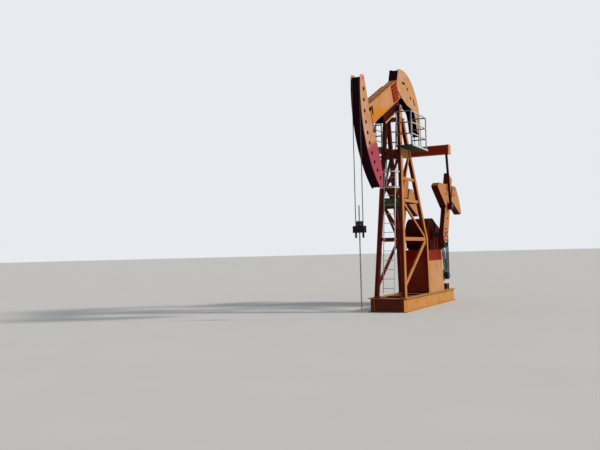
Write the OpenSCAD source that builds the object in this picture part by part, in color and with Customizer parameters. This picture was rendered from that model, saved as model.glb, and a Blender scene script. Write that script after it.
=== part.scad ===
// Beam pumping unit with a circular horsehead in front and a second head behind.
// X runs from the well to the rear, Z is up, and the ground is at z = 0.
// The beam is drawn with its front end at the bottom of the stroke.

/* [Stroke and heights] */
// Radius from the saddle pin to the front ropes
head_r = 3300; // [3000:10:3600]
// Height of the saddle pin above the ground
pivot_h = 6690; // [6500:10:6900]
// Angle the beam tilts to each side of level
swing = 26; // [20:1:27]
// Height of the crank shaft above the ground
shaft_h = 2500; // [2480:10:2600]
// Distance from the well axis to the crank shaft
shaft_back = 5950; // [5880:10:6000]
// Distance from crank shaft to crank pin
crank_r = 1098; // [1000:1:1110]
// Lean of the cranks to the rear at rest
crank_lean = 21; // [17:1:24]
// Height of the cross beam's middle above the ground
cross_h = 5550; // [5500:10:5650]

/* [Skid] */
// Distance from the well axis to the front of the skid
skid_gap = 2150; // [2050:10:2250]
// Length of the skid
skid_len = 6000; // [5900:10:6400]
// Width of the skid over its rails
skid_w = 1300; // [1260:10:1310]
// Height of the skid
skid_h = 450; // [380:10:470]
// Width of each rail
rail_w = 200; // [150:10:240]
// Thickness of the skid's steel
skid_t = 20; // [14:1:26]
// Width of each cross member
cross_w = 160; // [120:10:220]
// Diameter of an anchor hole in the skid
anchor_d = 30; // [22:2:36]
// Distance from the skid's ends to its anchor holes
anchor_end = 350; // [300:10:420]

/* [Tower] */
// Distance from the well axis to the front feet
front_foot_x = 2500; // [2400:10:2600]
// Distance from the well axis to the top of the front legs
front_top_x = 3150; // [3100:10:3180]
// Distance from the well axis to the top of the rear legs
rear_top_x = 3420; // [3400:10:3480]
// Distance from the well axis to the knee of the rear legs
rear_knee_x = 4860; // [4750:10:4880]
// Distance from the well axis to the rear feet
rear_foot_x = 4980; // [4900:10:5000]
// Height of the knee above the ground
knee_h = 2330; // [2200:10:2450]
// Half the distance between the front feet
foot_half = 470; // [420:10:480]
// Half the distance between the rear legs at the knee
knee_half = 500; // [460:10:520]
// Half the distance between the legs at the top
top_half = 235; // [210:5:260]
// Width of a leg
leg_w = 120; // [90:5:140]
// Depth of a leg
leg_d = 150; // [110:5:170]
// Depth of a strut
strut_d = 100; // [70:5:120]
// Thickness of a strut
strut_t = 60; // [40:5:80]
// Depth of a diagonal
diagonal_d = 80; // [50:5:100]
// Height of the lower side strut above the knee strut
strut_a = 1270; // [1150:10:1350]
// Height of the middle side strut above the knee strut
strut_b = 2000; // [1850:10:2100]
// Height of the platform strut above the knee strut
strut_c = 2860; // [2800:10:2900]
// Depth of the platform strut
platform_strut_d = 300; // [200:10:320]
// Thickness of the tower's top plate
top_plate_t = 30; // [20:2:40]
// Thickness of a foot plate
foot_plate_t = 25; // [16:1:36]
// Height of the side diagonal's lower end above the foot
diagonal_start = 300; // [240:10:400]

/* [Saddle] */
// Diameter of the saddle pin
saddle_pin_d = 130; // [100:5:150]
// Height of the saddle pin over the tower's top plate
bearing_h = 330; // [320:5:380]
// Length of each saddle bearing along the pin
bearing_len = 120; // [90:5:140]
// Width of the saddle hub between the bearings
hub_len = 260; // [220:5:280]
// Gap between the hub and each bearing
saddle_gap = 12; // [8:1:16]
// Thickness of a bearing's wall round the pin
bearing_wall = 55; // [40:5:60]
// How far the bracket under the beam reaches in front of the pin
bracket_front = 1450; // [1200:10:1500]
// How far the bracket reaches behind the pin
bracket_rear = 300; // [200:10:400]
// Height of the bracket's lower edge below the pin
bracket_drop = 50; // [40:5:60]

/* [Beam] */
// Depth of the walking beam
beam_d = 630; // [560:5:680]
// Width of the walking beam
beam_w = 280; // [250:5:290]
// Height of the beam's underside over the saddle pin
beam_lift = 230; // [210:5:260]
// Distance from the saddle pin to the rear end of the beam
beam_rear = 700; // [600:10:760]
// How far the beam reaches into the front head
beam_in_head = 300; // [260:10:320]
// Thickness of the beam's flanges
flange_t = 25; // [16:1:32]
// How far the flanges stand out beside the beam's side plates
flange_lip = 12; // [8:1:16]
// Length of the splice plates over the saddle
splice_len = 520; // [460:10:540]

/* [Front head] */
// Angle of the track above the beam's direction
head_up = 31.5; // [30:0.5:32]
// Angle of the track below the beam's direction
head_down = 31; // [30:0.5:31.5]
// Thickness of the head's side plates
head_side_t = 12; // [8:1:12]
// Thickness of the track plate
track_t = 16; // [10:1:22]
// How far the side plates stand over the track
track_lip = 40; // [34:2:50]
// Distance from the saddle pin to the back edge of the head
head_back = 2480; // [2420:10:2540]
// Diameter of a hole in the head's side plates
head_hole_d = 80; // [40:5:90]
// Distance from the track to the row of holes
head_hole_in = 230; // [200:10:260]
// Angle between neighbouring holes
head_hole_step = 6.1; // [5.8:0.1:6.2]
// Length of the ribs behind the track
rib_len = 360; // [300:10:380]

/* [Rear head] */
// Radius of the rear head's track
rear_r = 1889; // [1850:1:1900]
// Distance of that track's centre behind the saddle pin, along the beam
rear_cx = 342; // [320:1:360]
// Distance of that track's centre below the saddle pin
rear_cz = 708; // [690:1:720]
// Angle where the rear track starts at the top
rear_from = 78; // [74:1:80]
// Angle where the rear track ends at the bottom
rear_to = -30; // [-31:1:-28]
// Thickness of the rear head's side plates
rear_side_t = 14; // [10:1:18]
// Width of a slot in the rear head's side plates
slot_w = 45; // [30:5:60]
// Length of a slot
slot_len = 260; // [200:10:300]

/* [Ropes and rod] */
// Diameter of a wire rope
rope_d = 26; // [20:1:32]
// Distance between the two ropes of a pair
rope_gap = 230; // [200:5:240]
// Height of the carrier bar's top above the ground
carrier_h = 2700; // [2600:10:2800]
// Depth of the carrier bar
carrier_d = 200; // [160:10:240]
// Half the length of the carrier bar along X
carrier_half = 90; // [70:5:110]
// Diameter of the polished rod
rod_d = 38; // [32:1:45]
// How far the rod stands over the carrier bar
rod_top = 600; // [500:10:640]
// Height of the rod's lower end above the ground
rod_end_h = 250; // [150:10:400]
// Diameter of the pin at the rod's lower end
rod_pin_d = 34; // [30:1:36]

/* [Cranks and pitmans] */
// Gap between the skid's side and the counterweights
weight_gap = 70; // [60:5:90]
// Thickness of a crank
crank_t = 160; // [120:5:170]
// Width of a crank at the shaft
crank_hub_w = 620; // [520:10:660]
// Width of a crank at its tip
crank_tip_w = 540; // [460:10:580]
// Length of a crank from shaft to tip
crank_len = 2320; // [2280:10:2330]
// Thickness of a counterweight
weight_t = 240; // [200:5:250]
// Radius of the front counterweights' outer edge
front_weight_r = 1960; // [1900:10:2000]
// Distance from the shaft to the front counterweights' inner edge
front_weight_in = 930; // [880:10:960]
// Rise of that edge towards its end
front_weight_rise = 240; // [200:10:280]
// How far the front counterweights reach from the crank's middle line
front_weight_side = 1530; // [1450:10:1540]
// Radius of the rear counterweights' outer edge
rear_weight_r = 2300; // [2250:10:2310]
// Distance from the shaft to the rear counterweights' inner edge
rear_weight_in = 1450; // [1420:10:1480]
// How far the rear counterweights reach from the crank's middle line
rear_weight_side = 1680; // [1600:10:1700]
// Diameter of the crank shaft
shaft_d = 190; // [150:5:220]
// Diameter of a crank pin
pin_d = 110; // [90:5:130]
// Gap between the counterweights and a pitman
pitman_gap = 15; // [10:1:20]
// Diameter of a pitman
pitman_d = 89; // [70:1:100]
// Length of a pitman's bearing along the pin
eye_len = 150; // [120:5:170]
// Outer diameter of a pitman's bearing
eye_d = 250; // [210:5:280]
// How far the cross beam reaches beyond a pitman's middle
cross_over = 110; // [90:5:140]
// Depth of the cross beam
cross_d = 320; // [260:5:340]
// Width of the cross beam
cross_t = 300; // [240:5:320]
// Thickness of the cross beam's end plates
end_plate_t = 16; // [10:1:24]

/* [Gearbox and drive] */
// Distance from the well axis to the front of the pedestal
pedestal_x = 5280; // [5250:10:5320]
// Length of the pedestal at its foot
pedestal_len = 1750; // [1650:10:1850]
// Width of the pedestal at its foot
pedestal_w = 1000; // [900:10:1040]
// How much the pedestal narrows at each side
pedestal_taper = 60; // [40:5:90]
// Radius of the gearbox round the crank shaft
gear_r = 600; // [540:10:620]
// Radius of the gearbox round the input shaft
input_r = 330; // [280:10:360]
// Distance from the crank shaft back to the input shaft
input_x = 1230; // [1150:10:1260]
// Drop of the input shaft below the crank shaft
input_drop = 160; // [120:10:180]
// Width of the gearbox
gear_w = 820; // [760:10:840]
// Thickness of the gearbox's flanges
gear_flange_t = 30; // [20:2:40]
// Diameter of the large sheave
sheave_d = 640; // [560:10:700]
// Width of the sheaves
sheave_w = 150; // [120:5:160]
// Diameter of the motor pulley
pulley_d = 240; // [200:10:280]
// Thickness of the belts
belt_t = 22; // [16:1:26]
// Diameter of the input and motor shafts
drive_shaft_d = 80; // [60:5:90]
// Diameter of the motor's body
motor_d = 440; // [380:10:460]
// Length of the motor's body
motor_len = 620; // [520:10:700]
// Distance of the motor shaft behind the input shaft
motor_back = 250; // [200:10:300]
// Height of the motor shaft over the skid
motor_h = 520; // [500:10:560]
// Height of the motor's mount over the skid
mount_h = 220; // [180:10:240]
// Diameter of the brake drum
drum_d = 420; // [360:10:460]

/* [Platform and ladder] */
// Distance from the middle to the outer edge of the platform
platform_half = 800; // [740:10:860]
// How far the platform reaches inwards from the middle of the rear legs
platform_lap = 80; // [76:1:90]
// How far the platform reaches in front of the front legs
platform_front = 210; // [120:10:260]
// Length of the platform
platform_len = 1700; // [1600:10:1800]
// Thickness of the platform's floor
floor_t = 40; // [24:2:50]
// Height of the guard rail
rail_h = 1100; // [1000:10:1150]
// Diameter of the guard rail's tube
rail_tube_d = 42; // [32:1:50]
// Height of the ladder's stiles above the platform
ladder_over = 780; // [740:10:800]
// Width of the ladder
ladder_w = 380; // [320:10:420]
// Distance between rungs
rung_pitch = 300; // [250:10:340]
// Diameter of a rung
rung_d = 24; // [18:1:30]
// Distance from the front legs to the ladder
ladder_gap = 100; // [80:5:120]
// Radius of the ladder's cage
cage_r = 330; // [300:10:360]
// Thickness of the cage's flat bars
cage_t = 10; // [8:1:14]

/* [Hidden] */
$fn = 64;
// Facets of the large arcs
arc_fn = 360;
fit = 0.5;
seat = 0.3;
skid_back = skid_gap + skid_len;
well_x = -(skid_back - carrier_half) / 2;
pivot_x = well_x + head_r;
shaft_x = well_x + shaft_back;
pin_x = shaft_x + crank_r * sin(crank_lean);
pin_h = shaft_h + crank_r * cos(crank_lean);
// Centre of the rear track at rest, and the line from the crank pin that just touches the track
rear_arc_x = pivot_x + rear_cx * cos(swing) + rear_cz * sin(swing);
rear_arc_h = pivot_h + rear_cx * sin(swing) - rear_cz * cos(swing);
arc_to_pin = norm([pin_x - rear_arc_x, pin_h - rear_arc_h]);
rope_lean = atan2(pin_h - rear_arc_h, pin_x - rear_arc_x) + acos(rear_r / arc_to_pin);
touch_x = rear_arc_x + rear_r * cos(rope_lean);
touch_h = rear_arc_h + rear_r * sin(rope_lean);
cross_x = pin_x - (cross_h - pin_h) * tan(rope_lean);
tower_top_h = pivot_h - bearing_h - top_plate_t;
foot_h = skid_h + foot_plate_t;
platform_h = knee_h + strut_c + platform_strut_d / 2;
platform_inner = 5 * floor((rear_leg(platform_h, 1)[1] - platform_lap) / 5);
head_w = beam_w + 2 * head_side_t;
rear_w = beam_w + 2 * rear_side_t;
crank_in = skid_w / 2 + weight_gap + (weight_t - crank_t) / 2;
crank_mid = crank_in + crank_t / 2;
pitman_y = crank_mid + weight_t / 2 + pitman_gap + pitman_d / 2;
cross_half = pitman_y + cross_over;
gear_foot = 60;
pedestal_h = shaft_h - gear_r + gear_foot - skid_h;
input_shaft_x = shaft_x + input_x;
input_shaft_h = shaft_h - input_drop;
motor_x = input_shaft_x + motor_back;
motor_shaft_h = skid_h + motor_h;
sheave_y = -(gear_w / 2 + gear_flange_t + sheave_w / 2);
motor_front_y = sheave_y + sheave_w / 2 + 60;

// Turns children with the beam about the saddle pin
module on_beam() {
    translate([pivot_x, 0, pivot_h])
        rotate([0, -swing, 0])
            children();
}

// Turns children with the crank about the crank shaft, with Z along the crank
module on_crank() {
    translate([shaft_x, 0, shaft_h])
        rotate([0, crank_lean, 0])
            children();
}

// Round bar along Y, centred
module pin_y(d, len) {
    rotate([90, 0, 0])
        cylinder(d = d, h = len, center = true);
}

// Plate in the XZ plane with its outline as a child, centred on Y
module plate_y(t) {
    rotate([90, 0, 0])
        linear_extrude(height = t, center = true)
            children();
}

// Straight bar from point a to point b, wide along Y and deep across
module bar(a, b, wide, deep, extra = 0) {
    d = b - a;
    len = norm(d);
    flat = norm([d[0], d[1]]);
    turn = flat < 0.001 ? 0 : atan2(d[1], d[0]);
    translate(a)
        rotate([0, 0, turn])
            rotate([0, atan2(flat, d[2]), 0])
                translate([-deep / 2, -wide / 2, -extra])
                    cube([deep, wide, len + 2 * extra]);
}

// Round tube from point a to point b
module rod(a, b, d, extra = 0) {
    v = b - a;
    flat = norm([v[0], v[1]]);
    turn = flat < 0.001 ? 0 : atan2(v[1], v[0]);
    translate(a)
        rotate([0, 0, turn])
            rotate([0, atan2(flat, v[2]), 0])
                translate([0, 0, -extra])
                    cylinder(d = d, h = norm(v) + 2 * extra);
}

// Middle of a front leg at height z, side -1 or 1
function front_leg(z, side) =
    let (f = (z - foot_h) / (tower_top_h - foot_h))
    [well_x + front_foot_x + f * (front_top_x - front_foot_x),
     side * (foot_half + f * (top_half - foot_half)), z];

// Middle of a rear leg at height z, above or below the knee
function rear_leg(z, side) =
    z > knee_h
    ? let (f = (z - knee_h) / (tower_top_h - knee_h))
      [well_x + rear_knee_x + f * (rear_top_x - rear_knee_x),
       side * (knee_half + f * (top_half - knee_half)), z]
    : let (f = (z - foot_h) / (knee_h - foot_h))
      [well_x + rear_foot_x + f * (rear_knee_x - rear_foot_x), side * knee_half, z];

module skid_rails() {
    anchor_y = (rail_w + skid_t) / 4;
    color("chocolate")
        for (side = [-1, 1])
            translate([well_x + skid_gap, side * (skid_w - rail_w) / 2, 0])
                difference() {
                    translate([0, -rail_w / 2, 0])
                        cube([skid_len, rail_w, skid_h]);
                    for (cut = [-1, 1]) {
                        translate([-1, cut * (rail_w + skid_t) / 2 - rail_w / 2, skid_t])
                            cube([skid_len + 2, rail_w, skid_h - 2 * skid_t]);
                        translate([skid_len / 2 + cut * (skid_len / 2 - anchor_end), side * anchor_y, -1])
                            cylinder(d = anchor_d, h = skid_t + 2);
                    }
                }
}

// Starts of the cross members, measured from the skid's front end
front_member = front_foot_x - skid_gap - cross_w / 2;
rear_member = rear_foot_x - skid_gap - cross_w / 2;
pedestal_member = pedestal_x - skid_gap + cross_w;
member_starts = [
    0, front_member, (front_member + rear_member) / 2, rear_member,
    pedestal_member, pedestal_member + pedestal_len - 3 * cross_w, skid_len - cross_w
];

module skid_cross_members() {
    inner = skid_w - rail_w - skid_t;
    color("chocolate")
        for (start = member_starts)
            translate([well_x + skid_gap + start, 0, skid_t])
                difference() {
                    translate([0, -inner / 2, 0])
                        cube([cross_w, inner, skid_h - 2 * skid_t]);
                    for (cut = [-1, 1])
                        translate([cut * (cross_w + skid_t) / 2, -skid_w / 2 + rail_w, skid_t])
                            cube([cross_w, skid_w - 2 * rail_w, skid_h - 4 * skid_t]);
                }
}

module gearbox_pedestal() {
    top_len = pedestal_len - 2 * pedestal_taper;
    color("orangered")
        translate([well_x + pedestal_x, 0, skid_h])
            intersection() {
                plate_y(pedestal_w)
                    polygon([
                        [0, 0], [pedestal_len, 0],
                        [pedestal_len - pedestal_taper, pedestal_h],
                        [pedestal_taper, pedestal_h]
                    ]);
                rotate([90, 0, 90])
                    linear_extrude(height = pedestal_len)
                        polygon([
                            [-pedestal_w / 2, 0], [pedestal_w / 2, 0],
                            [pedestal_w / 2 - pedestal_taper, pedestal_h],
                            [-pedestal_w / 2 + pedestal_taper, pedestal_h]
                        ]);
            }
}

// One side of the tower: a front leg, a kneed rear leg and the bars between them
module side_frame(side) {
    difference() {
        union() {
            bar(front_leg(foot_h, side), front_leg(tower_top_h, side), leg_w, leg_d, leg_d);
            bar(rear_leg(knee_h, side), rear_leg(tower_top_h, side), leg_w, leg_d, leg_d);
            bar(rear_leg(foot_h, side), rear_leg(knee_h, side), leg_w, leg_d, leg_d / 4);
            for (z = [knee_h, knee_h + strut_a, knee_h + strut_b])
                bar(front_leg(z, side), rear_leg(z, side), strut_t, strut_d);
            bar(front_leg(knee_h + strut_c, side), rear_leg(knee_h + strut_c, side),
                strut_t, platform_strut_d);
            bar(front_leg(foot_h + diagonal_start, side), rear_leg(knee_h, side), strut_t, strut_d);
            bar(rear_leg(knee_h, side), front_leg(knee_h + strut_a, side), strut_t, diagonal_d);
            bar(front_leg(knee_h + strut_a, side), rear_leg(knee_h + strut_c, side), strut_t, diagonal_d);
            translate(front_leg(foot_h, side) - [leg_d, leg_w / 2 + 20, foot_plate_t])
                cube([2 * leg_d, leg_w + 40, foot_plate_t]);
            translate(rear_leg(foot_h, side) - [leg_d, leg_w / 2 + 20, foot_plate_t])
                cube([2 * leg_d, leg_w + 40, foot_plate_t]);
        }
        translate([well_x, -skid_w, tower_top_h])
            cube([2 * pivot_x - 2 * well_x, 2 * skid_w, 1000]);
        translate([well_x, -skid_w, skid_h - 1000])
            cube([2 * pivot_x - 2 * well_x, 2 * skid_w, 1000]);
    }
}

module tower_left_frame() {
    color("peru")
        side_frame(1);
}

module tower_right_frame() {
    color("peru")
        side_frame(-1);
}

module tower_front_bracing() {
    color("brown")
        difference() {
            union() {
                for (z = [knee_h, knee_h + strut_a, knee_h + strut_c])
                    bar(front_leg(z, -1), front_leg(z, 1), strut_t, strut_d);
                bar(front_leg(knee_h + 60, -1), front_leg(knee_h + strut_a - 60, 1), strut_t, diagonal_d);
                bar(front_leg(knee_h + strut_a + 60, 1), front_leg(knee_h + strut_c - 60, -1),
                    strut_t, diagonal_d);
            }
            side_frame(-1);
            side_frame(1);
        }
}

module tower_rear_bracing() {
    color("peru")
        difference() {
            union() {
                for (z = [knee_h, knee_h + strut_a, knee_h + strut_c])
                    bar(rear_leg(z, -1), rear_leg(z, 1), strut_t, strut_d);
                bar(rear_leg(knee_h + strut_a + 60, 1), rear_leg(knee_h + strut_c - 60, -1),
                    strut_t, diagonal_d);
            }
            side_frame(-1);
            side_frame(1);
        }
}

module tower_top_plate() {
    edge = leg_d / 2 + 40;
    x0 = well_x + front_top_x - edge;
    x1 = well_x + rear_top_x + edge;
    half = hub_len / 2 + saddle_gap + bearing_len + 50;
    color("brown")
        translate([x0, -half, tower_top_h])
            cube([x1 - x0, 2 * half, top_plate_t]);
}

module saddle_bearings() {
    cap_r = saddle_pin_d / 2 + bearing_wall;
    foot_half_len = cap_r + 70;
    foot_t = 60;
    color("brown")
        for (side = [-1, 1])
            translate([pivot_x, side * (hub_len / 2 + saddle_gap + bearing_len / 2), pivot_h])
                difference() {
                    plate_y(bearing_len) {
                        circle(r = cap_r);
                        polygon([
                            [-cap_r, 0], [cap_r, 0], [cap_r + 20, foot_t - bearing_h],
                            [foot_half_len, foot_t - bearing_h], [foot_half_len, -bearing_h],
                            [-foot_half_len, -bearing_h], [-foot_half_len, foot_t - bearing_h],
                            [-cap_r - 20, foot_t - bearing_h]
                        ]);
                    }
                    pin_y(saddle_pin_d + 2 * fit, bearing_len + 2);
                }
}

// Front edge of the work platform
platform_x = front_leg(platform_h, 1)[0] - leg_d / 2 - platform_front;

module work_platform() {
    color("darkolivegreen")
        difference() {
            for (side = [-1, 1])
                translate([platform_x, side > 0 ? platform_inner : -platform_half, platform_h])
                    cube([platform_len, platform_half - platform_inner, floor_t]);
            side_frame(-1);
            side_frame(1);
        }
}

// Guard rail round three sides of one half of the platform
module guard_rail(side) {
    x0 = platform_x + rail_tube_d;
    x1 = platform_x + platform_len - rail_tube_d;
    y0 = side * (platform_half - rail_tube_d);
    y1 = side * (platform_inner + rail_tube_d);
    z0 = platform_h + floor_t;
    for (x = [x0, (x0 + x1) / 2, x1])
        rod([x, y0, z0], [x, y0, z0 + rail_h], rail_tube_d);
    for (x = [x0, x1])
        rod([x, y1, z0], [x, y1, z0 + rail_h], rail_tube_d);
    for (i = [1:3]) {
        z = z0 + rail_h * i / 3;
        rod([x0, y0, z], [x1, y0, z], rail_tube_d, rail_tube_d / 2);
        for (x = [x0, x1])
            rod([x, y0, z], [x, y1, z], rail_tube_d, rail_tube_d / 2);
    }
}

module platform_rails() {
    color("gainsboro")
        for (side = [-1, 1])
            guard_rail(side);
}

// Height of the front strut that carries the ladder and the rest platform
rest_strut_h = knee_h + strut_a;

module rest_platform() {
    front = front_leg(rest_strut_h, 1);
    skirt_h = 320;
    skirt_half = front[1] - leg_w / 2 - 10;
    color("darkolivegreen")
        translate([front[0] + leg_d / 2 + 10, 0, rest_strut_h + strut_d / 2 + seat]) {
            translate([0, -skirt_half, -skirt_h])
                cube([floor_t / 2, 2 * skirt_half, skirt_h + 1]);
            difference() {
                translate([0, -front[1], 0])
                    cube([520, 2 * front[1], floor_t]);
                translate([-front[0] - leg_d / 2 - 10, 0, -rest_strut_h - strut_d / 2 - seat]) {
                    side_frame(-1);
                    side_frame(1);
                }
            }
        }
}

// Middle of a ladder stile at height z
function stile(z, side) =
    [front_leg(z, 1)[0] - leg_d / 2 - ladder_gap, side * ladder_w / 2, z];

module ladder() {
    stile_w = 20;
    stile_d = 60;
    arm_w = stile_w - 4;
    foot = skid_h + 150;
    top = platform_h + ladder_over;
    rungs = floor((platform_h - foot) / rung_pitch);
    color("gray") {
        for (side = [-1, 1]) {
            bar(stile(foot, side), stile(top, side), stile_w, stile_d);
            for (z = [knee_h, rest_strut_h, knee_h + strut_c])
                translate([stile(z, side)[0], stile(z, side)[1] - arm_w / 2, z - strut_t / 2])
                    cube([front_leg(z, 1)[0] - strut_t / 2 - stile(z, side)[0], arm_w, strut_t]);
        }
        for (i = [1:rungs])
            rod(stile(foot + (i - 0.5) * rung_pitch, -1), stile(foot + (i - 0.5) * rung_pitch, 1), rung_d);
    }
}

// Flat half ring of the cage round the ladder at height z
module cage_ring(z) {
    band = 50;
    translate([stile(z, 1)[0], 0, z - band / 2])
        difference() {
            cylinder(r = cage_r, h = band);
            translate([0, 0, -1])
                cylinder(r = cage_r - cage_t, h = band + 2);
            translate([0, -cage_r - 1, -1])
                cube([cage_r + 1, 2 * cage_r + 2, band + 2]);
        }
}

module ladder_cage() {
    low = rest_strut_h + 400;
    high = platform_h - platform_strut_d;
    step = (high - low) / 2;
    inner_r = cage_r - cage_t / 2;
    color("gray") {
        for (i = [0:2]) {
            z = low + i * step;
            cage_ring(z);
            for (side = [-1, 1])
                translate([stile(z, 1)[0] - cage_t, side > 0 ? ladder_w / 2 + 10 : -cage_r, z - 25])
                    cube([cage_t, cage_r - ladder_w / 2 - 10, 50]);
        }
        for (a = [-60, 0, 60])
            bar(
                stile(low, 0) - inner_r * [cos(a), sin(a), 0],
                stile(high, 0) - inner_r * [cos(a), sin(a), 0],
                a == 0 ? 40 : cage_t + 8, a == 0 ? cage_t : 30, 25
            );
    }
}

// Outline of the gearbox seen from the side, round both shafts
module gear_outline() {
    circle(r = gear_r);
    translate([input_x, -input_drop])
        circle(r = input_r);
    polygon([
        [0, gear_r], [gear_r * 0.55, gear_r * 0.84], [input_x, input_r - input_drop],
        [input_x, gear_foot - gear_r], [0, gear_foot - gear_r]
    ]);
}

// Slice of the gearbox between two heights over its split
module gear_half(z0, z1) {
    translate([shaft_x, 0, shaft_h])
        plate_y(gear_w)
            intersection() {
                gear_outline();
                translate([-2 * gear_r, z0])
                    square([5 * gear_r, z1 - z0]);
            }
}

// Flange plate all round the gearbox, with its underside at height z
module gear_flange(z) {
    lip = 50;
    translate([shaft_x - gear_r - lip, -gear_w / 2 - 20, z])
        cube([gear_r + input_x + input_r + 2 * lip, gear_w + 40, gear_flange_t]);
}

module gearbox_housing() {
    color("maroon")
        difference() {
            union() {
                gear_half(gear_foot - gear_r, -gear_flange_t);
                gear_flange(shaft_h - gear_flange_t);
            }
            translate([shaft_x, 0, shaft_h])
                pin_y(shaft_d + 2 * fit, gear_w + 100);
            translate([input_shaft_x, 0, input_shaft_h])
                pin_y(drive_shaft_d + 2 * fit, gear_w + 100);
        }
}

module gearbox_cover() {
    color("maroon")
        difference() {
            union() {
                gear_half(gear_flange_t, gear_r + 1);
                gear_flange(shaft_h);
            }
            translate([shaft_x, 0, shaft_h])
                pin_y(shaft_d + 2 * fit, gear_w + 100);
        }
}

module input_shaft() {
    color("dimgray")
        translate([input_shaft_x, 0, input_shaft_h])
            pin_y(drive_shaft_d, 2 * (sheave_w / 2 - sheave_y));
}

module large_sheave() {
    rim = 60;
    web_t = 40;
    boss_d = 200;
    spoke_hole_d = sheave_d / 5;
    color("dimgray")
        translate([input_shaft_x, sheave_y, input_shaft_h])
            difference() {
                pin_y(sheave_d, sheave_w);
                pin_y(drive_shaft_d, sheave_w + 2);
                for (side = [-1, 1])
                    translate([0, side * (sheave_w + web_t) / 2, 0])
                        difference() {
                            pin_y(sheave_d - 2 * rim, sheave_w);
                            pin_y(boss_d, sheave_w + 2);
                        }
                for (a = [0:72:288])
                    rotate([0, a, 0])
                        translate([0, 0, (boss_d + sheave_d - 2 * rim) / 4])
                            pin_y(spoke_hole_d * 0.7, sheave_w);
            }
}

module brake_drum() {
    rim = 30;
    web_t = 30;
    boss_d = 180;
    color("dimgray")
        translate([input_shaft_x, -sheave_y, input_shaft_h])
            difference() {
                pin_y(drum_d, sheave_w);
                pin_y(drive_shaft_d, sheave_w + 2);
                translate([0, web_t, 0])
                    difference() {
                        pin_y(drum_d - 2 * rim, sheave_w);
                        pin_y(boss_d, sheave_w + 2);
                    }
            }
}

module motor() {
    foot_w = 90;
    color("seagreen")
        translate([motor_x, motor_front_y, motor_shaft_h]) {
            translate([0, motor_len / 2, 0])
                pin_y(motor_d, motor_len);
            translate([0, -(60 + sheave_w) / 2, 0])
                pin_y(drive_shaft_d - 20, 60 + sheave_w);
            for (side = [-1, 1])
                translate([side * motor_d / 3 - foot_w / 2, 60, mount_h - motor_h])
                    cube([foot_w, motor_len - 120, motor_h - mount_h]);
        }
}

module motor_mount() {
    channel_w = 120;
    color("chocolate")
        for (side = [-1, 1])
            translate([motor_x + side * motor_d / 3 - channel_w / 2, rail_w / 2 - skid_w / 2, skid_h])
                difference() {
                    cube([channel_w, skid_w - rail_w, mount_h]);
                    translate([side > 0 ? skid_t : -skid_t, -1, skid_t])
                        cube([channel_w, skid_w - rail_w + 2, mount_h - 2 * skid_t]);
                }
}

module motor_pulley() {
    color("dimgray")
        translate([motor_x, sheave_y, motor_shaft_h])
            difference() {
                pin_y(pulley_d, sheave_w);
                pin_y(drive_shaft_d - 20, sheave_w + 2);
            }
}

// Outline round both wheels of the belt drive, standing out from them
module belt_outline(grow) {
    dz = motor_shaft_h - input_shaft_h;
    lean = asin((sheave_d - pulley_d) / 2 / norm([motor_back, dz]));
    dir = atan2(dz, motor_back);
    near = [cos(dir + 90 - lean), sin(dir + 90 - lean)];
    far = [cos(dir - 90 + lean), sin(dir - 90 + lean)];
    big = sheave_d / 2 + grow;
    small = pulley_d / 2 + grow;
    circle(r = big);
    translate([motor_back, dz])
        circle(r = small);
    polygon([big * near, big * far, [motor_back, dz] + small * far, [motor_back, dz] + small * near]);
}

module drive_belts() {
    belt_w = 30;
    color("black")
        for (y = [-1, 0, 1])
            translate([input_shaft_x, sheave_y + y * sheave_w / 3.5, input_shaft_h])
                plate_y(belt_w)
                    difference() {
                        belt_outline(belt_t);
                        belt_outline(seat);
                    }
}

module walking_beam() {
    front = head_back + beam_in_head;
    color("sandybrown")
        on_beam() {
            translate([-front, flange_lip - beam_w / 2, beam_lift])
                cube([front + beam_rear, beam_w - 2 * flange_lip, beam_d]);
            for (z = [beam_lift, beam_lift + beam_d - flange_t])
                translate([-front, -beam_w / 2, z])
                    cube([front + beam_rear, beam_w, flange_t]);
        }
}

module beam_splice_plates() {
    edge = flange_t + 5;
    thick = flange_lip + rear_side_t;
    color("orangered")
        on_beam()
            for (side = [-1, 1])
                translate([bracket_rear - splice_len, side * (rear_w - thick) / 2 - thick / 2, 0])
                    translate([0, 0, beam_lift + edge])
                        cube([splice_len, thick, beam_d - 2 * edge]);
}

module saddle_bracket() {
    web = 20;
    flange_over = 40;
    hub_d = saddle_pin_d + 90;
    color("brown")
        on_beam()
            difference() {
                union() {
                    translate([-bracket_front, -hub_len / 2, -bracket_drop])
                        cube([bracket_front - hub_d / 2, hub_len, web]);
                    translate([-bracket_front, -hub_len / 2 - flange_over, -bracket_drop])
                        cube([bracket_front - 2 * saddle_pin_d, hub_len + 2 * flange_over, web]);
                    for (side = [-1, 1])
                        translate([-bracket_front, side * (hub_len - web) / 2 - web / 2, -bracket_drop])
                            cube([bracket_front + bracket_rear, web, beam_lift + bracket_drop]);
                    pin_y(hub_d, hub_len);
                    translate([-hub_d / 2, -hub_len / 2, 0])
                        cube([hub_d, hub_len, beam_lift]);
                }
                pin_y(saddle_pin_d, hub_len + 2);
            }
}

module saddle_pin() {
    pin_end = 18;
    color("dimgray")
        on_beam()
            pin_y(saddle_pin_d, hub_len + 2 * (saddle_gap + bearing_len + pin_end));
}

// Side view of the front head, ahead of the saddle pin
module head_outline() {
    tip_r = head_r + track_lip - rope_d / 2;
    step = (head_up + head_down) / 24;
    polygon(concat(
        [for (i = [0:24]) tip_r * [-cos(head_up - i * step), sin(head_up - i * step)]],
        [
            [-head_back - 170, -tip_r * sin(head_down) - 40],
            [-head_back - 10, -tip_r * sin(head_down) + 250],
            [-head_back + 60, -900], [-head_back + 30, -400], [-head_back - 60, 100],
            [-head_back - 80, 500], [-head_back - 10, tip_r * sin(head_up) - 75]
        ]
    ));
}

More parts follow.
